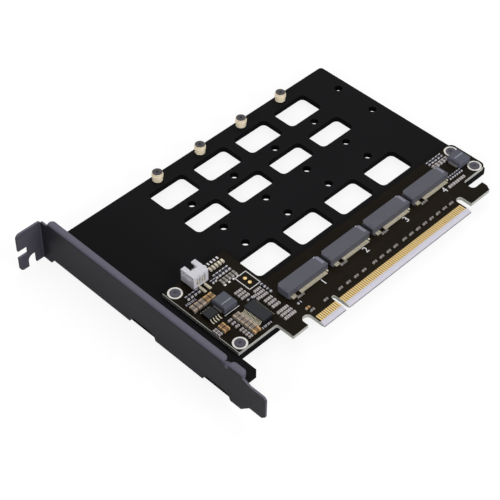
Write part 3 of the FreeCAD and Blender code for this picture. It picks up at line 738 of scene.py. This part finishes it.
def printed_marks():
    """Printed lines, the marks above the lights and a plain digit for each bay."""
    tall = sizes().print_height
    wide = sizes().print_width
    parts = []
    for x, y, along_x, along_y in PRINTED_LINES:
        half_x = max(along_x * MM, wide) / 2
        half_y = max(along_y * MM, wide) / 2
        parts.append(slab("line", (x * MM - half_x, y * MM - half_y, 0),
                          (x * MM + half_x, y * MM + half_y, tall)))
    for low, high in solids_of("status_leds"):
        middle = (low.x + high.x) / 2
        parts.append(slab("mark", (middle - 0.4 * MM, 51.5 * MM, 0),
                          (middle + 0.4 * MM, 52.8 * MM, tall)))
    for number, x in enumerate(BAY_XS, start=1):
        parts.append(digit(str(number), x + DIGIT_X * MM, DIGIT_Y * MM, DIGIT_SIZE * MM, tall))
    obj = join(parts, "printed_marks")
    hand_over(obj, obj.name, finish("print"), "white_plastic")


def digit(text, x, y, tall, thick):
    """One plain digit as a thin solid."""
    bpy.ops.object.select_all(action="DESELECT")
    bpy.ops.object.text_add()
    obj = bpy.context.object
    obj.data.body = text
    obj.data.size = tall
    obj.data.align_x = "CENTER"
    obj.data.align_y = "CENTER"
    obj.data.extrude = thick / 2
    bpy.ops.object.convert(target="MESH")
    obj = bpy.context.object
    obj.location = (x, y, thick / 2)
    apply_place(obj)
    tidy_mesh(obj)
    return obj


def bare_pads():
    """Tinned rings under the board screws, gold jumper pads and small test pads."""
    tall = sizes().print_height
    rings = []
    for x, y in centres("board_screws"):
        rings.append(ring("ring", (x, y, 0), 2.1 * MM, sizes().screw_pad, 0.2 * MM))
    for x, y in TEST_PADS:
        rings.append(slab("pad", ((x - 0.5) * MM, (y - 0.4) * MM, 0),
                          ((x + 0.5) * MM, (y + 0.4) * MM, tall)))
    obj = join(rings, "bare_pads")
    hand_over(obj, obj.name, finish("tin"), "tin")
    lands = []
    for low, high in solids_of("power_header_pins"):
        middle = (low.x + high.x) / 2
        lands.append(slab("pad", (middle - 0.62 * MM, low.y - 0.35 * MM, 0),
                          (middle + 0.62 * MM, low.y + 2.9 * MM, tall)))
    obj = join(lands, "header_lands")
    hand_over(obj, obj.name, finish("cream"), "tin")
    discs = [disc("pad", (x * MM, y * MM, 0), 0.75 * MM, tall) for x, y in JUMPER_PADS]
    obj = join(discs, "jumper_pads")
    hand_over(obj, obj.name, finish("gold"), "gold")


# ---- screws and pillars
def screw(name, head_r, head_h, shank_r, length, recess_r):
    """Pan-head cross-recess screw whose head sits on height 0."""
    section = [
        (0, -length), (shank_r * 0.8, -length), (shank_r, -length + shank_r * 0.2),
        (shank_r, 0), (head_r * 0.98, 0), (head_r, head_h * 0.08), (head_r, head_h * 0.8),
        (head_r * 0.985, head_h * 0.9), (head_r * 0.94, head_h * 0.98), (head_r * 0.9, head_h),
        (0, head_h),
    ]
    obj = turned(name, section, (0, 0, 0), 40)
    arm = recess_r * 0.26
    deep = head_h * 0.45
    for long_x in (True, False):
        half = (recess_r, arm) if long_x else (arm, recess_r)
        tool = slab("cross", (-half[0], -half[1], head_h - deep), (half[0], half[1], head_h * 1.3))
        edit_taper(tool, head_h - deep, 0.55)
        cut(obj, tool)
    soften(obj, 0.03 * MM, 2, 35)
    return obj


def edit_taper(obj, level, share):
    """Narrows the lowest face of a block."""
    pick(obj)
    for vert in obj.data.vertices:
        vert.select = vert.co.z < level + 1e-6
    bpy.ops.object.mode_set(mode="EDIT")
    bpy.ops.mesh.select_mode(type="VERT")
    bpy.ops.transform.resize(value=(share, share, 1), center_override=(0, 0, level))
    bpy.ops.object.mode_set(mode="OBJECT")


def centres(node):
    """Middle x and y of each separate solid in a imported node."""
    return [((a.x + b.x) / 2, (a.y + b.y) / 2) for a, b in solids_of(node)]


SCREW_GROUPS = (
    # node, head radius, head height, shank radius, length, recess radius, height of the seat
    ("board_screws", 2.15, 0.45, 1.25, 4.2, 1.0, 0.0),
    ("drive_screws", 2.1, 1.1, 1.0, 2.95, 1.1, 1.5),
    ("bracket_screws", 2.8, 1.7, 1.5, 3.46, 1.5, -0.74),
)
FIRST_TURN = 0.35
NEXT_TURN = 0.8


def screws():
    """Every screw group, with turned heads and cross recesses."""
    for node, head_r, head_h, shank_r, length, recess, seat in SCREW_GROUPS:
        one = screw("screw", head_r * MM, head_h * MM, shank_r * MM, length * MM, recess * MM)
        places = []
        for turn, (x, y) in enumerate(centres(node)):
            places.append(Matrix.Translation((x, y, seat * MM))
                          @ Matrix.Rotation(FIRST_TURN + NEXT_TURN * turn, 4, "Z"))
        obj = copies(one, places, node + "_turned")
        look = "drive_screw" if node == "drive_screws" else "screw"
        if look == "drive_screw":
            rims = [ring("rim", (x, y, (seat + 0.02) * MM), head_r * MM, (head_r + 0.05) * MM,
                         (head_h - 0.08) * MM) for x, y in centres(node)]
            rims = join(rims, "drive_screw_rims")
            hand_over(rims, rims.name, finish("pillar"), "brass")
        hand_over(obj, obj.name, finish(look), "dark_screw", node)


PILLAR_SECTION = (
    # radius, height
    (1.05, -4.2), (1.6, -4.2), (1.7, -4.1), (1.7, -1.6), (2.1, -1.6), (2.2, -1.5),
    (2.2, -0.12), (2.05, -0.05), (2.05, 0.25), (2.35, 0.3), (2.45, 0.4), (2.45, 1.38),
    (2.33, 1.5), (1.25, 1.5), (1.05, 1.3),
)


def standoffs():
    """Pale pillars with a groove below the collar and a countersunk bore."""
    section = [(r * MM, z * MM) for r, z in PILLAR_SECTION]
    one = turned("pillar", section, (0, 0, 0), 48, True)
    pick(one)
    bpy.ops.object.shade_smooth_by_angle(angle=math.radians(32))
    obj = copies(one, [(x, STANDOFF_Y, 0) for x in BAY_XS], "drive_standoffs_turned")
    hand_over(obj, obj.name, finish("pillar"), "brass", "drive_standoffs")


# ---- drive sockets
UPPER_CONTACT = (
    (17.6, 0.18), (17.6, 0.0), (18.8, 0.0), (18.9, 0.1), (18.9, 2.2), (19.0, 2.3), (22.3, 2.3),
    (22.9, 2.12), (23.35, 2.12), (23.7, 2.4), (23.6, 2.5), (23.25, 2.3), (22.95, 2.3),
    (22.35, 2.5), (18.82, 2.5), (18.7, 2.4), (18.7, 0.26), (18.62, 0.18),
)
LOWER_CONTACT = (
    (25.4, 0.0), (25.4, 0.18), (22.7, 0.18), (22.6, 0.26), (22.6, 1.3), (23.1, 1.52),
    (23.0, 1.64), (22.4, 1.42), (22.4, 0.08), (22.48, 0.0),
)
CONTACT_WIDTH = 0.22
UPPER_LEVEL = 1.0 * MM
# from the middle of the bay
SOCKET_WALL = ((-9.4, 18.42, 0.3), (9.4, 18.66, 0.92))
SOCKET_PAD = ((9.3, 19.9), (10.5, 23.9))
SOCKET_DOTS = ((9.2, 24.25, 0.22), (9.9, 22.9, 0.2))


def contact_rows(node):
    """Middle x of the upper and the lower contacts of a socket."""
    rows = {True: [], False: []}
    for low, high in solids_of(node):
        rows[high.z > UPPER_LEVEL].append((low.x + high.x) / 2)
    return rows[True], rows[False]


def socket_contacts():
    for number in range(1, BAY_COUNT + 1):
        node = "socket_contacts_" + str(number)
        upper, lower = contact_rows(node)
        for name, profile, xs, look in (("_upper", UPPER_CONTACT, upper, "cream"),
                                        ("_lower", LOWER_CONTACT, lower, "gold")):
            points = [(y * MM, z * MM) for y, z in profile]
            one = plate_yz("contact", points, 0, CONTACT_WIDTH * MM)
            obj = copies(one, [(x, 0, 0) for x in xs], node + name)
            hand_over(obj, obj.name, finish(look), "gold", node)
        land = slab("land", (-0.17 * MM, 16.9 * MM, 0), (0.17 * MM, 18.35 * MM, 0.03 * MM))
        obj = copies(land, [(x, 0, 0) for x in upper], node + "_lands")
        hand_over(obj, obj.name, finish("cream"), "tin")


def socket_housings():
    """Housings with a thin wall in front of the rear contacts, and a pad at one end."""
    for number, bay_x in enumerate(BAY_XS, start=1):
        node = "drive_socket_" + str(number)
        obj = from_node(node)
        soften(obj, sizes().mould_round * 0.7, 2, 40)
        wall = slab("wall", *[(bay_x + x * MM, y * MM, z * MM) for x, y, z in SOCKET_WALL])
        obj = join([obj, wall], node + "_moulded")
        hand_over(obj, obj.name, finish("socket"), "socket_plastic", node)
        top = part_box(node)[1].z
        pad = slab("pad", *[(bay_x + x * MM, y * MM, z) for (x, y), z in
                            zip(SOCKET_PAD, (top, top + 0.04 * MM))])
        soften(pad, 0.015 * MM, 2, 40)
        hand_over(pad, node + "_end_pad", finish("clip_cover"), "socket_plastic")
        dots = [disc("dot", (bay_x + x * MM, y * MM, top), r * MM, 0.03 * MM, 16)
                for x, y, r in SOCKET_DOTS]
        marks = join(dots, node + "_end_marks")
        hand_over(marks, marks.name, finish("print"), "white_plastic")


def socket_clips():
    """Bent clips; the one at the marked end is drawn in bright cream, the other in the dark socket
    colour.
    """
    for number, bay_x in enumerate(BAY_XS, start=1):
        node = "socket_clips_" + str(number)
        for low, high in solids_of(node):
            right = low.x > bay_x
            top = high.z
            points = [(low.y, 0), (20.0 * MM, 0), (21.2 * MM, 0), (21.2 * MM, top - 0.1 * MM),
                      (21.1 * MM, top), (20.1 * MM, top), (20.0 * MM, top - 0.1 * MM),
                      (20.0 * MM, 0.3 * MM), (19.9 * MM, 0.2 * MM), (low.y, 0.2 * MM)]
            name = node + ("_bright" if right else "_dark")
            obj = plate_yz(name, points, (low.x + high.x) / 2, high.x - low.x)
            hand_over(obj, name, finish("cream" if right else "socket"), "tin", node)


# ---- header, coils and chips
def power_header():
    """Side-entry header with grooved flanks, a guide rail and windows over its two pins."""
    low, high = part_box("power_header")
    obj = from_node("power_header")
    tools = [slab("groove", (side - 0.28 * MM, low.y - MM, 4.35 * MM),
                  (side + 0.28 * MM, high.y + MM, 4.75 * MM)) for side in (low.x, high.x)]
    tools.append(slab("groove", (low.x - MM, low.y - MM, 5.25 * MM),
                      (high.x + MM, low.y + 0.2 * MM, 5.45 * MM)))
    for a, b in solids_of("power_header_pins"):
        middle = (a.x + b.x) / 2
        tools.append(slab("window", (middle - 0.95 * MM, low.y - MM, 1.0 * MM),
                          (middle + 0.95 * MM, low.y + 0.7 * MM, 4.7 * MM)))
    cut(obj, *tools)
    rails = [slab("rail", (side - 0.25 * MM, low.y + 1.9 * MM, 2.5 * MM),
                  (side + 0.25 * MM, high.y - 0.2 * MM, 3.6 * MM)) for side in (low.x, high.x)]
    for rail in rails:
        soften(rail, 0.12 * MM, 2, 40)
    soften(obj, sizes().mould_round, 2, 40)
    obj = join([obj] + rails, "power_header_moulded")
    hand_over(obj, "power_header_moulded", finish("header"), "white_plastic", "power_header")
    pins = []
    for a, b in solids_of("power_header_pins"):
        front, back = low.y + 0.1 * MM, low.y + 0.55 * MM
        points = [(a.y, 0), (back, 0), (back, 2.6 * MM), (b.y, 2.6 * MM), (b.y, 3.1 * MM),
                  (front + 0.1 * MM, 3.1 * MM), (front, 3.0 * MM), (front, 0.5 * MM),
                  (a.y, 0.4 * MM)]
        pins.append(plate_yz("pin", points, (a.x + b.x) / 2, b.x - a.x))
    obj = join(pins, "power_header_pins_formed")
    soften(obj, 0.06 * MM, 2, 40)
    hand_over(obj, "power_header_pins_formed", finish("cream"), "tin", "power_header_pins")


COIL_LINES = (("main_inductor", 31.9), ("end_inductor", 22.35))
COIL_LINE_HALF = 0.26


def coils():
    """Pressed bodies with a line across the top, and their tinned terminals."""
    for node, line_y in COIL_LINES:
        obj = from_node(node)
        soften(obj, sizes().mould_round * 1.4, 3, 25)
        hand_over(obj, node + "_pressed", finish("coil"), "grey_plastic", node)
        ends = node + "_terminals"
        obj = from_node(ends)
        soften(obj, 0.08 * MM, 2, 40)
        hand_over(obj, ends + "_tinned", finish("solder"), "tin", ends)
        low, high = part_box(node)
        bar = slab("coil_line", (low.x + 0.8 * MM, (line_y - COIL_LINE_HALF) * MM, high.z),
                   (high.x - 0.8 * MM, (line_y + COIL_LINE_HALF) * MM, high.z + 0.04 * MM))
        soften(bar, 0.015 * MM, 2, 40)
        hand_over(bar, node + "_line", finish("coil_line"), "grey_plastic")


def gull_lead(rise, out, wide):
    """Bent lead that leaves the body at rise and stands on its foot, towards +X."""
    thick = 0.15 * MM
    points = [
        (0, rise - thick / 2), (0.3 * out, rise - thick / 2), (0.38 * out, rise - thick),
        (0.46 * out, 0.12 * MM), (0.58 * out, 0), (out, 0), (out, thick), (0.66 * out, thick),
        (0.6 * out, 0.24 * MM), (0.52 * out, rise - 0.1 * MM), (0.38 * out, rise + thick / 2),
        (0, rise + thick / 2),
    ]
    return plate_xz("lead", points, 0, wide)


def chip(body, leads, along_x, dot):
    """Moulded chip with a pin-one dimple, and its formed leads."""
    low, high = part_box(body)
    obj = from_node(body)
    mark = disc("dimple", (low.x + dot[0] * MM, low.y + dot[1] * MM, high.z - 0.06 * MM),
                0.38 * MM, 0.3 * MM, 24)
    cut(obj, mark)
    soften(obj, 0.08 * MM, 2, 40)
    hand_over(obj, body + "_moulded", finish("package"), "black_plastic", body)
    places = []
    near = []
    for a, b in solids_of(leads):
        mid_x, mid_y = (a.x + b.x) / 2, (a.y + b.y) / 2
        if along_x:
            side = 1 if mid_x > (low.x + high.x) / 2 else -1
            start = (high.x if side > 0 else low.x, mid_y, 0)
            turn = 0 if side > 0 else math.pi
            size = (b.z, b.x - a.x, b.y - a.y)
        else:
            side = 1 if mid_y > (low.y + high.y) / 2 else -1
            start = (mid_x, high.y if side > 0 else low.y, 0)
            turn = side * math.pi / 2
            size = (b.z, b.y - a.y, b.x - a.x)
        places.append(Matrix.Translation(start) @ Matrix.Rotation(turn, 4, "Z"))
        if side < 0:
            near.append(places[-1])
    half = size[2] * 0.62
    land = slab("land", (0.45 * MM, -half, 0), (size[1] + 1.15 * MM, half, 0.03 * MM))
    lands = copies(land, near, leads + "_lands")
    hand_over(lands, lands.name, finish("cream"), "tin")
    obj = copies(gull_lead(*size), places, leads + "_formed")
    hand_over(obj, obj.name, finish("cream"), "tin", leads)


def chips():
    chip("clock_chip", "clock_leads", True, (0.9, 9.3))
    chip("regulator_chip", "regulator_leads", False, (0.7, 0.7))


# ---- small parts
def small_part(low, high, kind):
    """Body, end caps and solder of one small part, about its own middle on the board."""
    wide, deep, tall = high - low
    along_x = wide >= deep
    length, across = (wide, deep) if along_x else (deep, wide)
    cap = length * 0.24
    half = length / 2
    side = across / 2
    slim = 0.02 * MM
    body = slab("body", (-half + cap * 0.6, -side + slim, slim),
                (half - cap * 0.6, side - slim, tall - slim))
    soften(body, 0.05 * MM, 1, 40)
    ends = []
    joints = []
    for way in (-1, 1):
        inner, outer = way * (half - cap), way * half
        end = slab("end", (min(inner, outer), -side, 0), (max(inner, outer), side, tall))
        soften(end, 0.07 * MM, 2, 40)
        ends.append(end)
        reach = way * (half + 0.22 * MM)
        joint = slab("joint", (min(outer, reach), -side, 0), (max(outer, reach), side, tall * 0.5))
        pick(joint)
        for vert in joint.data.vertices:
            if vert.co.z > tall * 0.25 and abs(vert.co.x) > half + 0.1 * MM:
                vert.co.z = 0.04 * MM
        joints.append(joint)
    turn = Matrix.Identity(4) if along_x else Matrix.Rotation(math.pi / 2, 4, "Z")
    groups = []
    for name, parts in ((kind + "_body", [body]), (kind + "_ends", ends),
                        (kind + "_joints", joints)):
        obj = join(parts, name)
        obj.data.transform(turn)
        groups.append(obj)
    return groups


def small_parts(node, slot, choose):
    """Detailed parts on the place of every solid of a node; choose gives each one's finish."""
    batches = {}
    for low, high in solids_of(node):
        size = tuple(round(v, 5) for v in high - low)
        batches.setdefault(size, []).append((low, high))
    bodies = {}
    ends = {}
    joints = []
    for size, boxes in sorted(batches.items()):
        templates = small_part(boxes[0][0], boxes[0][1], node)
        for low, high in boxes:
            place = Matrix.Translation(((low.x + high.x) / 2, (low.y + high.y) / 2, 0))
            key = choose(low, high)
            stores = (bodies.setdefault(key, []), ends.setdefault(key, []), joints)
            for template, store in zip(templates, stores):
                store.append(twin_of(template, place))
        for template in templates:
            bpy.data.objects.remove(template)
    for key, parts in bodies.items():
        obj = join(parts, node + "_" + key + "_bodies")
        hand_over(obj, obj.name, finish(key), slot, node)
        obj = join(ends[key], node + "_" + key + "_ends")
        hand_over(obj, obj.name, finish(key + "_end"), "tin", node)
    obj = join(joints, node + "_joints")
    hand_over(obj, obj.name, finish("solder"), "tin", node)


CORNER_SIZE = (1.7, 0.95, 0.75)
CORNER_PLACE = (-11.0 * MM, 10.1 * MM, 0)


def bulk_colour(low, high):
    amber = (low.x > -36.5 * MM and low.y > 35 * MM) or low.y < 16.5 * MM or high.x < -38 * MM
    return "amber" if amber and not (low.x < -38 * MM and low.y > 35 * MM) else "ceramic"


def small_groups():
    small_parts("bulk_capacitors", "ceramic", bulk_colour)
    small_parts("filter_capacitors", "ceramic", lambda low, high: "pale")
    small_parts("filter_resistors", "black_plastic", lambda low, high: "film")
    small_parts("slot_capacitors", "ceramic", lambda low, high: "dim")
    small_parts("coupling_capacitors", "ceramic", lambda low, high: "dim")
    small_parts("status_leds", "white_plastic", lambda low, high: "lens")
    small_parts("led_resistors", "black_plastic",
                lambda low, high: "grey" if low.y < 43 * MM else "film")
    spare = small_part(Vector((0, 0, 0)), Vector(CORNER_SIZE) * MM, "corner_capacitor")
    for obj, look, slot in zip(spare, ("amber", "amber_end", "solder"), ("ceramic", "tin", "tin")):
        obj.data.transform(Matrix.Translation(CORNER_PLACE))
        hand_over(obj, obj.name, finish(look), slot)


# ---- studio
FLOOR_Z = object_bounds()[0][2]
CAMERA_PLACE = (-282.690 * MM, -223.437 * MM, 397.937 * MM)
CAMERA_AHEAD = (0.50044, 0.48567, -0.71672)
CAMERA_RIGHT = (0.70416, -0.71011, 0.01048)
CAMERA_LENS = 104.37
CAMERA_SENSOR = 36
FLOOR_SIZE = 6
FLOOR_GLOW = 1.06
FLOOR_GLOW_SHARE = 0.8
WORLD_LIGHT = 0.42
WORLD_SEEN = 1.0
LAMPS = (
    # name, place, target, size, power
    ("lamp_above", (0.45, 0.5, 0.75), (0.02, 0.05, 0), 0.9, 2.5),
    ("lamp_left", (-0.9, -0.1, 0.4), (0.0, 0.04, 0), 0.6, 4.6),
    ("lamp_front", (0.1, -0.9, 0.4), (0.02, 0.04, 0), 0.6, 5.6),
)


def floor_finish():
    """White floor with a soft shadow; its glow is for camera rays only."""
    mat = Finish("floor_white", (0.9, 0.9, 0.9), 0.8, specular=0.0)
    path = mat.node("ShaderNodeLightPath", {}, {})
    seen = Val(mat, path.outputs["Is Camera Ray"])
    glow = mat.node("ShaderNodeEmission", {}, {"Color": (1.0, 1.0, 1.0), "Strength": FLOOR_GLOW})
    blend = mat.node("ShaderNodeMixShader", {}, {
        "Fac": seen * FLOOR_GLOW_SHARE, 1: mat.shader.outputs[0], 2: glow.outputs[0]})
    out = mat.tree.nodes["Material Output"]
    mat.tree.links.new(blend.outputs[0], out.inputs["Surface"])
    return mat.material


def area_light(name, place, target, size, power):
    bpy.ops.object.select_all(action="DESELECT")
    bpy.ops.object.light_add(type="AREA", location=place)
    lamp = bpy.context.object
    lamp.name = name
    lamp.data.shape = "DISK"
    lamp.data.size = size
    lamp.data.energy = power
    way = Vector(target) - Vector(place)
    lamp.rotation_euler = way.to_track_quat("-Z", "Y").to_euler()
    return lamp


def studio():
    bpy.ops.object.select_all(action="DESELECT")
    bpy.ops.mesh.primitive_plane_add(size=FLOOR_SIZE, location=(0, 0, FLOOR_Z))
    floor = bpy.context.object
    floor.name = "studio_floor"
    floor.data.materials.append(floor_finish())
    for lamp in LAMPS:
        area_light(*lamp)
    world = bpy.data.worlds.new("studio_world")
    bpy.context.scene.world = world
    world.use_nodes = True
    sky = Nodes(world.node_tree)
    path = sky.node("ShaderNodeLightPath", {}, {})
    span = sky.node("ShaderNodeMapRange", {}, {
        "Value": path.outputs["Is Camera Ray"], "To Min": WORLD_LIGHT, "To Max": WORLD_SEEN})
    back = sky.tree.nodes["Background"]
    sky.feed(back.inputs["Strength"], span.outputs[0])
    sky.feed(back.inputs["Color"], (1.0, 1.0, 1.0))
    camera = bpy.data.cameras.new("studio_camera")
    camera.lens = CAMERA_LENS
    camera.sensor_width = CAMERA_SENSOR
    holder = bpy.data.objects.new("studio_camera", camera)
    bpy.context.scene.collection.objects.link(holder)
    ahead = Vector(CAMERA_AHEAD).normalized()
    right = (Vector(CAMERA_RIGHT) - ahead * ahead.dot(Vector(CAMERA_RIGHT))).normalized()
    up = right.cross(ahead)
    turn = Matrix((right, up, -ahead)).transposed().to_4x4()
    holder.matrix_world = Matrix.Translation(CAMERA_PLACE) @ turn
    bpy.context.scene.camera = holder
    bpy.context.scene.view_settings.view_transform = "Standard"


# ---- add-on
class CARD_OT_sheet(bpy.types.Operator):
    """Coat the carrier plate and plate the slot bracket"""
    bl_idname = "card.sheet"
    bl_label = "Plate and bracket"

    def execute(self, context):
        carrier_plate()
        slot_bracket()
        return {"FINISHED"}


class CARD_OT_board(bpy.types.Operator):
    """Finish the circuit board, its contacts, pads and printed marks"""
    bl_idname = "card.board"
    bl_label = "Circuit board"

    def execute(self, context):
        circuit_board()
        back_contacts()
        bare_pads()
        printed_marks()
        return {"FINISHED"}


class CARD_OT_screws(bpy.types.Operator):
    """Turn every screw"""
    bl_idname = "card.screws"
    bl_label = "Screws"

    def execute(self, context):
        screws()
        return {"FINISHED"}


class CARD_OT_standoffs(bpy.types.Operator):
    """Turn the drive standoffs"""
    bl_idname = "card.standoffs"
    bl_label = "Standoffs"

    def execute(self, context):
        standoffs()
        return {"FINISHED"}


class CARD_OT_sockets(bpy.types.Operator):
    """Mould the drive sockets and form their contacts and clips"""
    bl_idname = "card.sockets"
    bl_label = "Drive sockets"

    def execute(self, context):
        socket_housings()
        socket_contacts()
        socket_clips()
        return {"FINISHED"}


class CARD_OT_header(bpy.types.Operator):
    """Mould the power header and form its pins"""
    bl_idname = "card.header"
    bl_label = "Power header"

    def execute(self, context):
        power_header()
        return {"FINISHED"}


class CARD_OT_coils(bpy.types.Operator):
    """Press the two coils and tin their terminals"""
    bl_idname = "card.coils"
    bl_label = "Coils"

    def execute(self, context):
        coils()
        return {"FINISHED"}


class CARD_OT_chips(bpy.types.Operator):
    """Mould both chips and form their leads"""
    bl_idname = "card.chips"
    bl_label = "Chips"

    def execute(self, context):
        chips()
        return {"FINISHED"}


class CARD_OT_small_parts(bpy.types.Operator):
    """Detail every small part on the board"""
    bl_idname = "card.small_parts"
    bl_label = "Small parts"

    def execute(self, context):
        small_groups()
        return {"FINISHED"}


class CARD_OT_studio(bpy.types.Operator):
    """Set the floor, the lamps and the camera"""
    bl_idname = "card.studio"
    bl_label = "Studio"

    def execute(self, context):
        studio()
        return {"FINISHED"}


OPERATORS = (CARD_OT_sheet, CARD_OT_board, CARD_OT_screws, CARD_OT_standoffs, CARD_OT_sockets,
             CARD_OT_header, CARD_OT_coils, CARD_OT_chips, CARD_OT_small_parts, CARD_OT_studio)


class CARD_PT_panel(bpy.types.Panel):
    """Lists the card's settings and pieces"""
    bl_idname = "CARD_PT_panel"
    bl_label = "Adapter card"
    bl_space_type = "VIEW_3D"
    bl_region_type = "UI"
    bl_category = "Adapter card"

    def draw(self, context):
        column = self.layout.column()
        for group in (context.scene.card_finishes, context.scene.card_sizes):
            for name in group.bl_rna.properties.keys():
                if name not in ("rna_type", "name"):
                    column.prop(group, name)
        for operator in OPERATORS:
            column.operator(operator.bl_idname)


CLASSES = (CardFinishes, CardSizes) + OPERATORS + (CARD_PT_panel,)


def register():
    for item in CLASSES:
        bpy.utils.register_class(item)
    bpy.types.Scene.card_finishes = bpy.props.PointerProperty(type=CardFinishes)
    bpy.types.Scene.card_sizes = bpy.props.PointerProperty(type=CardSizes)


def unregister():
    del bpy.types.Scene.card_sizes
    del bpy.types.Scene.card_finishes
    for item in reversed(CLASSES):
        bpy.utils.unregister_class(item)


def main():
    register()
    for operator in OPERATORS:
        group, name = operator.bl_idname.split(".")
        getattr(getattr(bpy.ops, group), name)()


if __name__ == "__main__":
    main()
